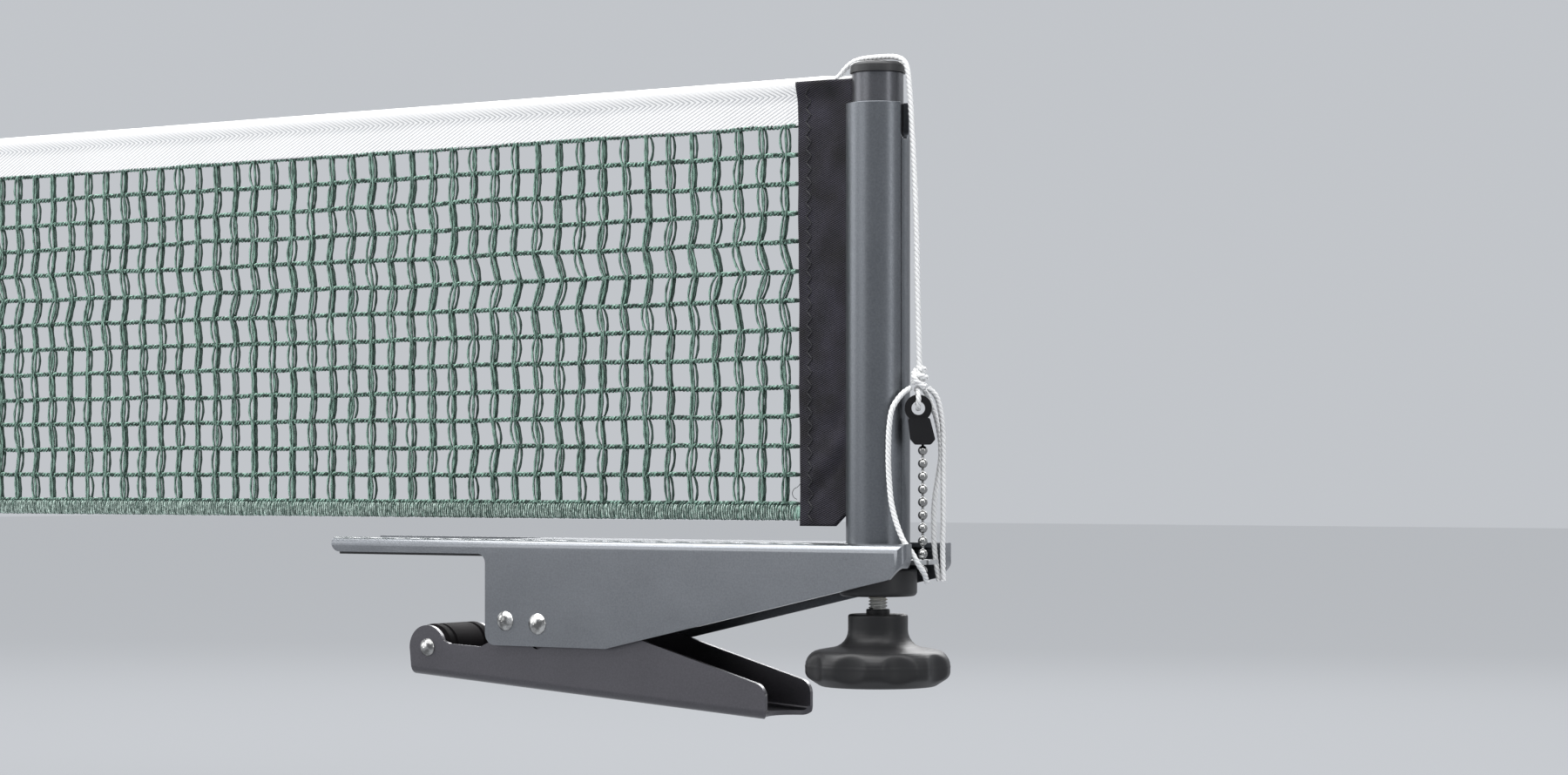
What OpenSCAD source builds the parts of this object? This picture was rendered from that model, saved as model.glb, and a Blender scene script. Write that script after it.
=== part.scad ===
// Table tennis net clamp: a sprung steel bracket that grips the edge of the table, a telescopic
// post with a height screw, and the net with its side band, tape, cord and hooking chain.
// The origin lies on the table top, at the table's edge, midway between the two cheeks.
// +X points away from the table, +Z up.

/* [Bracket] */
// Distance from the table edge to the axis of the post
post_x = 142.5; // [135:0.5:155]
// Overall width across the two cheeks
bracket_w = 32; // [31:0.5:40]
// Thickness of the bracket's steel sheet
bracket_t = 1.5; // [1:0.1:2]
// Outside radius of the bracket's bends
bend_r = 3; // [2.2:0.1:4]
// Height of the bracket's top face above the table
bracket_top = 5.8; // [5:0.1:8]
// Reach of the two arms over the table
arm_reach = 66.5; // [50:0.5:80]
// Depth of the cheeks below the table top
cheek_depth = 29.3; // [27:0.1:32]
// Length of the level lower edge of each cheek
cheek_flat = 49; // [35:1:60]
// Depth of the cheeks at their outer end
end_depth = 5.2; // [4:0.1:8]
// Distance from the post's axis to the outer end of the bracket
end_reach = 18.3; // [16.5:0.1:22]
// Radius of the corners of the cheeks
cheek_corner = 4; // [2:0.5:5]
// Length of web left between the slot of the arms and the table edge
arm_slot_set = 6; // [3:0.5:10]

/* [Arm pads] */
// How far the rubber pads stand below the steel arms
pad_stand = 0.8; // [0.5:0.1:1.5]
// Width of each pad
pad_w = 4.6; // [3:0.1:5]
// Distance of the pads from the tip of the arm and from the table edge
pad_inset = 2.5; // [1:0.5:5]

/* [Pivot and stop rivets] */
// Distance of the pivot rivet from the table edge
pivot_x = 8.5; // [8:0.1:10]
// Depth of the pivot rivet below the table top
pivot_depth = 21.2; // [20:0.1:22]
// Distance of the stop rivet from the pivot rivet
stop_arm = 13.2; // [12:0.1:16]
// Angle of the stop rivet below the level through the pivot
stop_drop = 3; // [0:0.5:8]
// Diameter of the rivet shanks
rivet_d = 5; // [4:0.1:5.5]
// Diameter of the head of the pivot rivet
pivot_head_d = 6.8; // [6.2:0.1:8]
// Diameter of the head of the stop rivet
stop_head_d = 7.2; // [6.2:0.1:8]
// Diameter of the head of the jaw rivet
jaw_head_d = 6.2; // [6:0.1:7]
// Height of the rivet heads
head_h = 2; // [1.2:0.1:2.4]

/* [Squeeze lever] */
// Overall width of the lever channel
lever_w = 28; // [26:0.1:28.2]
// Thickness of the lever's steel sheet
lever_t = 1.5; // [1:0.1:2]
// Distance from the table edge to the handle end of the lever
handle_x = 109.5; // [95:0.5:112]
// Slope of the bottom of the lever
lever_slope = 4.05; // [3.5:0.05:4.5]
// Depth of the bottom of the lever, at the table edge
lever_depth = 42.3; // [42:0.1:44]
// Height of the upper edge of the lever above the pivot
lever_crest = 9.8; // [9:0.1:11]
// Height of the lever's side walls at the handle end
handle_h = 10.6; // [9:0.1:12]
// Depth of the thumb notch in the handle end
notch_depth = 6; // [3:0.5:8]
// How far the jaw rivet stands before the table edge
jaw_reach = 25.9; // [24:0.1:28]
// Depth of the jaw rivet below the table top
jaw_depth = 30.9; // [30.5:0.1:31.2]
// Radius of the lever's rounded jaw end
jaw_end_r = 7.4; // [6:0.1:7.6]
// Angle through which the lever opens
lever_open = 24; // [18:1:24]

/* [Jaw roller] */
// Outside diameter of the rubber roller
roller_d = 15.6; // [13:0.1:16]
// Outside diameter of the roller's plastic core
core_d = 9; // [8:0.1:10.5]
// Depth of the two ring grooves in the rubber
groove_depth = 0.5; // [0.3:0.1:1]
// Width of the two ring grooves
groove_w = 1.2; // [0.6:0.1:2]
// Distance of each groove from the end of the roller
groove_inset = 4.5; // [3:0.1:6]

/* [Torsion spring] */
// Diameter of the spring wire
wire_d = 1.6; // [1.2:0.1:1.8]
// Mean radius of the coil
coil_r = 5.4; // [5.2:0.1:6.2]
// Pitch from curl to curl
coil_pitch = 2.2; // [2.2:0.05:2.4]
// Whole curls between the two legs
coil_curls = 5; // [3:1:6]
// Outside diameter of the sleeve that carries the spring
sleeve_d = 8; // [7:0.1:8.6]

/* [Post] */
// Outside diameter of the post
post_d = 20; // [19.5:0.1:20.5]
// Outside diameter of the riser inside the post
riser_d = 16; // [15:0.1:16.5]
// Wall of the riser
riser_wall = 1.2; // [1:0.1:1.5]
// Height of the post's upper end above the table
post_top = 142.6; // [136:0.1:146]
// Height of the riser's upper end above the table
riser_top = 152.1; // [151.8:0.1:152.4]
// Height of the riser's lower end above the table
riser_low = 8; // [7.5:0.5:10]
// Width of the slit that the net's welt slides in
slit_w = 2.4; // [2:0.1:3]
// Width of the cord slot at the top of the post
cord_slot_w = 4.8; // [3.5:0.1:6]
// Depth of the cord slot at the top of the post
cord_slot_depth = 11.4; // [8:0.1:16]
// Diameter of the cap
cap_d = 17.5; // [16.6:0.1:17.6]
// Thickness of the cap
cap_h = 3.3; // [2.5:0.1:3.4]

/* [Foot] */
// Diameter of the foot block's flange
foot_d = 24.4; // [23:0.1:26]
// Depth of the top of the flange below the table top
foot_top = 2.4; // [2:0.1:3.5]
// Thickness of the flange
foot_h = 8.4; // [7.9:0.1:8.4]
// Height of the foot's spigot inside the post
spigot_h = 5.4; // [3:0.1:5.4]
// Outside diameter of the brass thread insert
insert_d = 9; // [8:0.1:11]
// Length of the thread insert
insert_h = 6.5; // [4:0.1:7]
// Width of the tongue that holds the chain
tongue_w = 12; // [8:0.5:13]
// Thickness of the post plate
plate_t = 1.5; // [1:0.1:2]
// Height of the upper face of the post plate above the table
plate_top = 0.7; // [0:0.1:1]

/* [Height screw and knob] */
// Diameter of the height screw
screw_d = 6; // [5:0.1:7]
// Diameter of the journal at the top of the screw
journal_d = 4; // [3.5:0.1:4.5]
// Depth of the knob's upper end below the table top
knob_drop = 14.8; // [14.7:0.1:16]
// Overall height of the knob
knob_h = 24.1; // [22:0.1:26]
// Diameter of the knob's rim
knob_d = 45.5; // [40:0.1:48]
// Diameter of the knob's hub
hub_d = 18.7; // [16:0.1:20]
// Height of the neck on the hub
neck_h = 1.6; // [1:0.1:2]
// Diameter of the neck on the hub
neck_d = 7.4; // [7.2:0.1:10]
// Height of the knob's rim
rim_h = 12.6; // [11:0.1:14]
// Number of finger hollows in the rim
hollows = 9; // [6:1:10]
// Depth of each finger hollow
hollow_depth = 1.9; // [1:0.1:2.5]
// Radius of each finger hollow
hollow_r = 8.7; // [7:0.1:10]

/* [Net] */
// Height of the net's upper edge above the table
net_top = 152.5; // [152.5:0.1:154]
// Overall height of the net
net_h = 140.2; // [138:0.1:141]
// Height of the white tape
tape_h = 15; // [12:0.5:18]
// Thickness of the tape
tape_t = 1.2; // [0.8:0.1:1.6]
// Height of the bottom hem
hem_h = 5.5; // [4:0.1:7]
// Thickness of the mesh cords
mesh_t = 1.2; // [0.8:0.1:1.5]
// Length of net between its two side bands
net_len = 366.5; // [250:0.5:400]
// Columns of gaps in the mesh
mesh_cols = 22; // [12:1:23]
// Rows of gaps in the mesh
mesh_rows = 13; // [8:1:13]
// Thickness of the side bands
band_t = 1.4; // [1:0.1:1.8]
// Width of the side band beside the post
band_w = 18.3; // [16:0.1:22]
// Diameter of the rod in the band's welt
rod_d = 4; // [3:0.1:4.2]
// Thickness of the welt's cloth round its rod
welt_t = 0.6; // [0.4:0.1:0.7]

/* [Cord and chain] */
// Diameter of the cord
cord_d = 1.7; // [1.4:0.1:1.8]
// Diameter of the chain's balls
ball_d = 3; // [2.6:0.1:3.2]
// Distance from ball to ball
ball_pitch = 4; // [3.95:0.01:4.05]
// Diameter of the wire between the balls
link_d = 0.8; // [0.6:0.1:1]
// Diameter of the connector's eye
eye_d = 8.4; // [8:0.1:9]
// Diameter of the hole in the eye
eye_hole_d = 4.2; // [4:0.1:4.4]
// Thickness of the connector's eye
eye_t = 2.2; // [2:0.1:2.4]
// Thickness of the connector's body
connector_t = 4.6; // [4.4:0.1:5.4]
// Width of the connector's body at its lower end
connector_w = 7.6; // [6.6:0.1:8.4]

/* [Hidden] */
$fn = 64;

// Clearances, in millimetres
seat_gap = 0.02;    // between pieces pressed together
run_gap = 0.05;     // radial, between pieces that turn or slide on each other
lay_gap = 0.3;      // between soft pieces that lie on each other
side_gap = 0.2;     // endwise, beside a piece that turns
pin_gap = 0.3;      // between the stop rivet and its slot
through = 100;      // long enough to cut right through any piece

// Bracket
web_under = bracket_top - bracket_t;
inner_w = bracket_w - 2 * bracket_t;
end_x = post_x + end_reach;
notch_w = post_d + 2 * side_gap;
inner_bend = bend_r - bracket_t;
arm_under = pad_stand;
arm_heel_r = 3.6;
stop_fillet = 3;
end_corner = 6;
foot_run = 5;
slot_corner = 3;
outer_corner_r = 1;

// Pivot, stop and jaw
pivot_z = -pivot_depth;
stop_x = pivot_x + stop_arm * cos(stop_drop);
stop_z = pivot_z - stop_arm * sin(stop_drop);
jaw_x = -jaw_reach;
jaw_z = -jaw_depth;
rivet_r = rivet_d / 2;
slot_spare = 1.5;
lever_in_w = lever_w - 2 * lever_t;
lever_bend = lever_t + 1.5;
window_w = 21;
window_x = jaw_x + roller_d / 2 + 3;
core_len = lever_in_w - 2 * side_gap;
roller_len = core_len - 2 * side_gap;
roller_chamfer = 1.2;

// Lever outline: the upper edge falls from a crest over the pivot to the handle
crest_fall = 0.7;
crest_x = pivot_x + 2.5;
crest_z = pivot_z + lever_crest - crest_fall;
handle_low = -lever_depth - handle_x * tan(lever_slope);
handle_top = handle_low + handle_h;
jaw_neck_z = jaw_z + 1.4;
jaw_low = -lever_depth - jaw_x * tan(lever_slope);
jaw_shift = 0.3;
jaw_chin = 1.1;
floor_spare = 2;
handle_corner = 4.5;
crest_r = 6;
brow_x = 1;
brow_z = pivot_z + 4;
brow_r = 3;
nook_x = 0.6;
nook_run = 4.1;
nook_rise = 1.2;
nook_r = 2;
notch_r = 12 + notch_depth;

// Post and its inner parts
post_r = post_d / 2;
plate_margin = 3;
plate_reach = post_r + 1.2;
riser_r = riser_d / 2;
riser_bore = riser_r - riser_wall;
post_bore = riser_r + run_gap;
post_low = -foot_top;
slit_low = riser_low + 1;
plug_h = 10;
plug_floor = 2.5;
plug_well_r = 5;
welt_low = riser_low + plug_h + 2;
welt_top = riser_top - 6;
shank_h = 5;
cap_edge = 1.2;
cap_bevel = 0.35 * cap_edge;
foot_low = -foot_top - foot_h;
foot_edge = 1.5;
foot_chamfer = 0.4;
spigot_top = -foot_top + spigot_h;
ring_t = 0.8;
ring_z = riser_low + plug_floor + side_gap;
ring_r = 4;
groove_r = journal_d / 2 - 0.4;
screw_grip = 19;
knob_top = -knob_drop;
knob_low = knob_top - knob_h;
screw_hole = 0.3;
bore_spare = 0.5;
knob_foot_in = 5;
knob_foot_up = 3.2;
knob_foot_r = 3;
rim_fall = 2;
shoulder_r = 5;
flare_rise = 0.4;
flare_r = 5.5;
neck_corner = 0.4;
hollow_turn = 38;

// Net
band_x1 = post_x - post_r - 1;
band_x0 = band_x1 - band_w;
welt_x = post_x - riser_bore + rod_d / 2 + welt_t + lay_gap;
far_x1 = band_x0 - net_len;
far_x0 = far_x1 - band_w;
far_welt_x = far_x0 - (welt_x - band_x1);
net_low = net_top - net_h;
band_low = net_low - 1.5;
sleeve_r = cord_d / 2 + 0.65;
sleeve_z = net_top - sleeve_r;
band_top = sleeve_z - sleeve_r;
tape_low = net_top - tape_h;
hem_top = net_low + hem_h;
tape_end = band_x1 - 6;
band_cut = 4;

// Cord: each route's points, from the post's axis, in millimetres
over_route = [
    [-17, 0, 151], [-16, 0, 151], [-14, 0, 152.3], [-11.8, 0, 154.4], [-9.2, 0, 156.1],
    [-6, 0, 156.9],
    [-2, 0, 157.1], [2, 0, 157.1], [5.5, 0, 156.9], [8.6, 0, 156], [10.2, 0, 154.1],
    [10.9, 0, 151.5], [11.3, 0, 148], [11.9, 0, 141], [12.6, 0, 130], [13.3, 0, 118],
    [13.9, 0, 104], [14.3, 0, 86], [14.7, 0, 70], [15, 0, 60.4]
];
left_route = [
    [13.1, -2.2, 53.9], [11.6, -5, 51.8], [9.9, -7.6, 47.6], [9.2, -8.4, 42], [9, -8.6, 36],
    [9, -8.6, 30], [9.4, -8.6, 24], [10.2, -8.8, 18.5], [11.9, -8.8, 12.5], [14.4, -8.8, 7],
    [17.6, -8.6, 2.8], [19.2, -7.6, -0.6], [19.8, -5, -3.6], [19, -2.4, -6.2]
];
right_route = [
    [17, 2, 53.9], [18.6, 4.2, 51.2], [19.4, 5.6, 46], [19.6, 6.6, 39], [19.4, 7, 30],
    [19.2, 7.4, 20], [18.8, 8, 11], [18.4, 8.4, 4], [18.4, 8.6, -2], [18.4, 8.8, -6]
];
back_route = [
    [14.7, 2.9, 53.8], [15.2, 5.6, 50.4], [16.4, 7.6, 45], [17.2, 8.9, 38], [17.2, 9.2, 32],
    [16.2, 9.2, 26], [15, 9, 18], [14.9, 8.9, 10], [15.2, 8.9, 4], [16, 8.9, -2], [16.8, 8.9, -6]
];
knot_x = 15;
knot_z = 57;
knot_r = 3.1;
knot_low_r = 2.6;
knot_step = 2.2;
cord_sides = 8;
link_r = 2.6;
balls_above = 10;
ball_x = 16.2;
connector_z = 47.6;
connector_turn = 33;
connector_lean = 1.4;
connector_len = 11.3;
waist_w = 6.4;
waist_shift = 0.3;
waist_z = -eye_hole_d / 2 - 0.9;
chin_h = 1.6;
chin_in = 1.4;
chin_r = 0.8;
socket_depth = 4.2;
chain_slot_w = 1.4;
chain_slot_depth = 4;
far_knot_r = 2.4;
far_tail = 8;

// Spring: the coil lies round the pivot, one leg under the web and one on the lever's floor
leg_up_angle = 125;
leg_down_angle = 235;
curl_rings = 8;
wire_sides = 6;
coil_turn = 360 * coil_curls + leg_down_angle - leg_up_angle;
coil_len = coil_pitch * coil_turn / 360;
leg_up_run = (web_under - lay_gap - wire_d / 2 - pivot_z - coil_r * sin(leg_up_angle))
    / -cos(leg_up_angle);
leg_down_x = pivot_x + coil_r * cos(leg_down_angle);
leg_down_z = pivot_z + coil_r * sin(leg_down_angle);
floor_z = -lever_depth + lever_t + wire_d / 2 + lay_gap;
leg_down_run = (leg_down_z - floor_z + leg_down_x * tan(lever_slope))
    / (sin(leg_down_angle) * tan(lever_slope) - cos(leg_down_angle));

// Points of an arc of radius r about a centre, from angle a0 to a1
function arc(cx, cy, r, a0, a1, steps = 8) =
    [for (i = [0 : steps]) let (a = a0 + (a1 - a0) * i / steps) [cx + r * cos(a), cy + r * sin(a)]];

// An outline of [x, y, radius] corners as plain points, each corner rounded by its radius
function rounded(corners) = [
    for (i = [0 : len(corners) - 1]) let (
        n = len(corners),
        p = [corners[i][0], corners[i][1]],
        before = corners[(i + n - 1) % n],
        after = corners[(i + 1) % n],
        u = unit2([before[0], before[1]] - p),
        v = unit2([after[0], after[1]] - p),
        half = acos(max(-1, min(1, u * v))) / 2,
        r = corners[i][2]
    ) each r == 0 ? [p] : let (
        centre = p + unit2(u + v) * (r / sin(half)),
        start = p + u * (r / tan(half)) - centre,
        stop = p + v * (r / tan(half)) - centre,
        a0 = atan2(start[1], start[0]),
        turn = ((atan2(stop[1], stop[0]) - a0 + 540) % 360) - 180
    ) arc(centre[0], centre[1], r, a0, a0 + turn, 6)
];
function unit2(v) = v / norm(v);

// The rings of a tube along a path, each square to it; side is a direction never along the path
function path_way(path, i) =
    let (n = len(path) - 1) path[min(i + 1, n)] - path[max(i - 1, 0)];
function ring(centre, way, side, r, sides) = let (
    u = cross(way, side) / norm(cross(way, side)),
    v = cross(way, u) / norm(way)
) [for (k = [0 : sides - 1]) centre + r * (cos(360 * k / sides) * u + sin(360 * k / sides) * v)];

module tube_along(path, r, sides, side = [0, 1, 0]) {
    n = len(path);
    points = [for (i = [0 : n - 1]) each ring(path[i], path_way(path, i), side, r, sides)];
    walls = [
        for (i = [0 : n - 2], k = [0 : sides - 1]) let (
            a = i * sides + k,
            b = i * sides + (k + 1) % sides
        ) each [[a, b, a + sides], [b, b + sides, a + sides]]
    ];
    low_cap = [for (k = [1 : sides - 2]) [0, k + 1, k]];
    last = (n - 1) * sides;
    high_cap = [for (k = [1 : sides - 2]) [last, last + k, last + k + 1]];
    polyhedron(points = points, faces = concat(walls, low_cap, high_cap));
}

// A cord laid along a route counted from the post's axis
module cord_along(route) {
    color("white")
        translate([post_x, 0, 0])
            tube_along(route, cord_d / 2, cord_sides);
}

// Extrusions of an XZ outline across the part, and of a YZ outline along it
module across(width) {
    rotate([90, 0, 0])
        linear_extrude(width, center = true)
            children();
}

module along(x0, x1) {
    translate([x0, 0, 0])
        rotate([90, 0, 90])
            linear_extrude(x1 - x0)
                children();
}

module cross_bore(x, z, r) {
    translate([x, 0, z])
        rotate([90, 0, 0])
            cylinder(h = through, r = r, center = true);
}

module cross_bar(x, z, r, length) {
    translate([x, 0, z])
        rotate([90, 0, 0])
            cylinder(h = length, r = r, center = true);
}

// The inverted channel's section, closed on top, with rounded shoulders of radius r
module channel_section(width, top, r) {
    polygon(concat(
        [[-width / 2, -through], [width / 2, -through]],
        arc(width / 2 - r, top - r, r, 0, 90),
        arc(-width / 2 + r, top - r, r, 90, 180)
    ));
}

module cheek_outline() {
    polygon(rounded([
        [-arm_reach, bracket_top + foot_run, 0],
        [-arm_reach, arm_under, arm_heel_r],
        [0, arm_under, stop_fillet],
        [0, -cheek_depth, cheek_corner],
        [cheek_flat, -cheek_depth, end_corner],
        [end_x - foot_run, -end_depth, outer_corner_r],
        [end_x, -end_depth + foot_run, end_corner - outer_corner_r],
        [end_x, bracket_top + foot_run, 0]
    ]));
}

module bracket_block(width, top, r, x1) {
    intersection() {
        along(-arm_reach - 1, x1 + 1)
            channel_section(width, top, r);
        translate([0, 0, -through])
            linear_extrude(2 * through)
                polygon(concat(
                    [[-arm_reach - 1, width / 2], [-arm_reach - 1, -width / 2]],
                    arc(x1 - r, -width / 2 + r, r, -90, 0),
                    arc(x1 - r, width / 2 - r, r, 0, 90)
                ));
    }
}

module bracket() {
    color("slategray")
    difference() {
        intersection() {
            bracket_block(bracket_w, bracket_top, bend_r, end_x);
            across(bracket_w + 2)
                cheek_outline();
        }
        bracket_block(inner_w, web_under, inner_bend, end_x - bracket_t);
        // The slot that parts the two arms
        translate([0, 0, -through / 2])
            linear_extrude(through)
                polygon(rounded([
                    [-arm_reach - 1, -notch_w / 2, 0],
                    [arm_slot_set, -notch_w / 2, slot_corner],
                    [arm_slot_set, notch_w / 2, slot_corner],
                    [-arm_reach - 1, notch_w / 2, 0]
                ]));
        // The slot that takes the post, open to the end between the two turned-in lips
        translate([post_x, 0, 0])
            cylinder(h = through, r = notch_w / 2, center = true);
        translate([post_x, -notch_w / 2, -through / 2])
            cube([through, notch_w, through]);
        cross_bore(pivot_x, pivot_z, rivet_r + seat_gap);
        cross_bore(stop_x, stop_z, rivet_r + seat_gap);
    }
}

module arm_pads() {
    side = inner_w / 2 - seat_gap;
    color("dimgray")
    for (s = [0, 1])
        mirror([0, s, 0])
            along(-arm_reach + pad_inset, -pad_inset)
                polygon([
                    [side - pad_w, 0], [side, 0], [side, web_under - inner_bend],
                    [side - inner_bend, web_under], [side - pad_w, web_under]
                ]);
}

module post_plate() {
    near_edge = post_r + plate_margin;
    color("gray")
    translate([0, 0, plate_top - plate_t])
    linear_extrude(plate_t)
    difference() {
        union() {
            translate([post_x - near_edge, -inner_w / 2])
                square([near_edge + plate_reach, inner_w]);
            translate([post_x, -tongue_w / 2])
                square([end_reach - lay_gap, tongue_w]);
        }
        translate([post_x, 0])
            circle(r = post_r + run_gap);
        translate([post_x + end_reach - chain_slot_depth, -chain_slot_w / 2])
            square([chain_slot_depth, chain_slot_w]);
    }
}

// A rivet across the part with a domed head on each end
module cross_rivet(x, z, grip, head_d) {
    dome_r = (head_d * head_d / 4 + head_h * head_h) / (2 * head_h);
    translate([x, 0, z])
        rotate([90, 0, 0])
            union() {
                cylinder(h = grip, r = rivet_r, center = true);
                for (s = [0, 1])
                    mirror([0, 0, s])
                        intersection() {
                            translate([0, 0, grip / 2 + head_h - dome_r])
                                sphere(r = dome_r);
                            translate([0, 0, grip / 2])
                                cylinder(h = head_h, r = head_d / 2);
                        }
            }
}

module pivot_rivet() {
    color("gainsboro")
        cross_rivet(pivot_x, pivot_z, bracket_w, pivot_head_d);
}

module stop_rivet() {
    color("gainsboro")
        cross_rivet(stop_x, stop_z, bracket_w, stop_head_d);
}

module jaw_rivet() {
    color("gainsboro")
        cross_rivet(jaw_x, jaw_z, lever_w, jaw_head_d);
}

module pivot_sleeve() {
    color("silver")
    difference() {
        cross_bar(pivot_x, pivot_z, sleeve_d / 2, lever_in_w - 2 * side_gap);
        cross_bore(pivot_x, pivot_z, rivet_r + run_gap);
    }
}

function coil_point(i) = let (
    a = leg_up_angle + i * 360 / curl_rings,
    y = coil_len / 2 - coil_pitch * i / curl_rings
) [pivot_x + coil_r * cos(a), y, pivot_z + coil_r * sin(a)];

module torsion_spring() {
    rings = floor(coil_turn * curl_rings / 360);
    coil = [for (i = [0 : rings]) coil_point(i)];
    up_way = [sin(leg_up_angle), 0, -cos(leg_up_angle)];
    down_way = [-sin(leg_down_angle), 0, cos(leg_down_angle)];
    least = min([for (i = [0 : rings - curl_rings]) norm(coil[i] - coil[i + curl_rings])]) - wire_d;
    echo(least_gap_between_curls = least);
    color("silver")
        tube_along(
            concat(
                [coil[0] + leg_up_run * up_way, coil[0] + wire_d * up_way],
                coil,
                [coil[rings] + wire_d * down_way, coil[rings] + leg_down_run * down_way]
            ),
            wire_d / 2, wire_sides
        );
}

module lever_outline() {
    polygon(rounded([
        [jaw_x - jaw_shift - jaw_end_r, jaw_z, 0],
        [jaw_x - jaw_shift - jaw_end_r + jaw_chin, jaw_low - floor_spare, 0],
        [handle_x, handle_low - floor_spare, 0],
        [handle_x, handle_top, handle_corner],
        [crest_x, crest_z, crest_r],
        [brow_x, brow_z, brow_r],
        [nook_x, jaw_neck_z + nook_rise, nook_r],
        [nook_x - nook_run, jaw_neck_z - nook_rise / 2, nook_r],
        [jaw_x + jaw_end_r + nook_r, jaw_neck_z, nook_r / 2],
        [jaw_x + jaw_end_r / 2, jaw_z + jaw_end_r / 2, 0],
        [jaw_x, jaw_z + jaw_end_r / 2, 0]
    ]));
    translate([jaw_x - jaw_shift, jaw_z])
        circle(r = jaw_end_r);
}

// The lever's channel, open on top, in the slope of its bottom
module lever_block(width, thick_cut, r) {
    rotate([0, lever_slope, 0])
        translate([0, 0, -lever_depth * cos(lever_slope) + thick_cut])
            mirror([0, 0, 1])
                along(-through, 2 * through)
                    channel_section(width, 0, r);
}

module arc_slot(r, width, a0, a1) {
    intersection() {
        difference() {
            circle(r = r + width / 2);
            circle(r = r - width / 2);
        }
        polygon(concat([[0, 0]], arc(0, 0, 2 * r, a0, a1, 2)));
    }
    for (a = [a0, a1])
        translate([r * cos(a), r * sin(a)])
            circle(r = width / 2);
}

module squeeze_lever() {
    color("dimgray")
    difference() {
        intersection() {
            lever_block(lever_w, 0, lever_bend);
            across(lever_w + 2)
                lever_outline();
        }
        lever_block(lever_in_w, lever_t, lever_bend - lever_t);
        cross_bore(pivot_x, pivot_z, rivet_r + run_gap);
        cross_bore(jaw_x, jaw_z, rivet_r + seat_gap);
        translate([pivot_x, 0, pivot_z])
            across(through)
                arc_slot(stop_arm, rivet_d + 2 * pin_gap,
                    -stop_drop + slot_spare, -stop_drop - lever_open - slot_spare);
        // The window under the roller and the thumb notch in the handle's floor
        translate([window_x - through, -window_w / 2, -through])
            cube([through, window_w, through + jaw_z]);
        translate([handle_x + notch_r - notch_depth, 0, handle_low])
            cylinder(h = 2 * lever_bend, r = notch_r, center = true);
    }
}

module roller_core() {
    color("whitesmoke")
    difference() {
        cross_bar(jaw_x, jaw_z, core_d / 2, core_len);
        cross_bore(jaw_x, jaw_z, rivet_r + run_gap);
    }
}

module jaw_roller() {
    r = roller_d / 2;
    h = roller_len / 2;
    color("black")
    translate([jaw_x, 0, jaw_z])
        rotate([90, 0, 0])
            rotate_extrude()
                difference() {
                    polygon([
                        [core_d / 2 + seat_gap, -h], [r - roller_chamfer, -h], [r, -h + roller_chamfer],
                        [r, h - roller_chamfer], [r - roller_chamfer, h], [core_d / 2 + seat_gap, h]
                    ]);
                    for (s = [-1, 1])
                        translate([r - groove_depth, s * (h - groove_inset) - groove_w / 2])
                            square([groove_depth + 1, groove_w]);
                }
}

// A slit along a tube on its net side, from height z0 up
module net_slit(z0) {
    translate([post_x - post_r - 1, -slit_w / 2, z0])
        cube([post_r + 1, slit_w, 2 * through]);
}

module outer_post() {
    slot_z = post_top - cord_slot_depth;
    color("lightslategray")
    difference() {
        translate([post_x, 0, post_low])
            cylinder(h = post_top - post_low, r = post_r);
        translate([post_x, 0, post_low - 1])
            cylinder(h = post_top - post_low + 2, r = post_bore);
        net_slit(slit_low);
        translate([post_x, 0, slot_z + cord_slot_w / 2])
            rotate([0, 90, 0])
                cylinder(h = post_r + 1, r = cord_slot_w / 2);
        translate([post_x, -cord_slot_w / 2, slot_z + cord_slot_w / 2])
            cube([post_r + 1, cord_slot_w, cord_slot_depth]);
    }
}

module foot_block() {
    bore = screw_d / 2 + screw_hole;
    insert_r = insert_d / 2 + seat_gap;
    color("black")
    translate([post_x, 0, 0])
        rotate_extrude()
            polygon(concat(
                [[insert_r, foot_low]],
                arc(foot_d / 2 - foot_edge, foot_low + foot_edge, foot_edge, -90, 0),
                [
                    [foot_d / 2, -foot_top - foot_chamfer], [foot_d / 2 - foot_chamfer, -foot_top],
                    [post_bore - run_gap, -foot_top], [post_bore - run_gap, spigot_top],
                    [bore, spigot_top], [bore, foot_low + insert_h], [insert_r, foot_low + insert_h]
                ]
            ));
}

module thread_insert() {
    color("goldenrod")
    translate([post_x, 0, foot_low])
        difference() {
            cylinder(h = insert_h - seat_gap, r = insert_d / 2);
            translate([0, 0, -1])
                cylinder(h = insert_h + 2, r = screw_d / 2 + run_gap);
        }
}

module riser_tube() {
    color("lightgray")
    difference() {
        translate([post_x, 0, riser_low])
            cylinder(h = riser_top - riser_low, r = riser_r);
        translate([post_x, 0, riser_low - 1])
            cylinder(h = riser_top - riser_low + 2, r = riser_bore);
        net_slit(welt_low - 1);
    }
}

module riser_plug() {
    color("darkgray")
    translate([post_x, 0, riser_low])
        difference() {
            cylinder(h = plug_h, r = riser_bore - seat_gap);
            translate([0, 0, -1])
                cylinder(h = plug_h + 2, r = journal_d / 2 + run_gap);
            translate([0, 0, plug_floor])
                cylinder(h = plug_h, r = plug_well_r);
        }
}

module post_cap() {
    color("darkslategray")
    translate([post_x, 0, riser_top])
        union() {
            rotate_extrude()
                polygon([
                    [0, 0], [cap_d / 2, 0], [cap_d / 2, cap_h - cap_edge],
                    [cap_d / 2 - cap_bevel, cap_h - cap_bevel],
                    [cap_d / 2 - cap_edge, cap_h], [0, cap_h]
                ]);
            translate([0, 0, -shank_h])
                cylinder(h = shank_h, r = riser_bore - seat_gap);
        }
}

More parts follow.
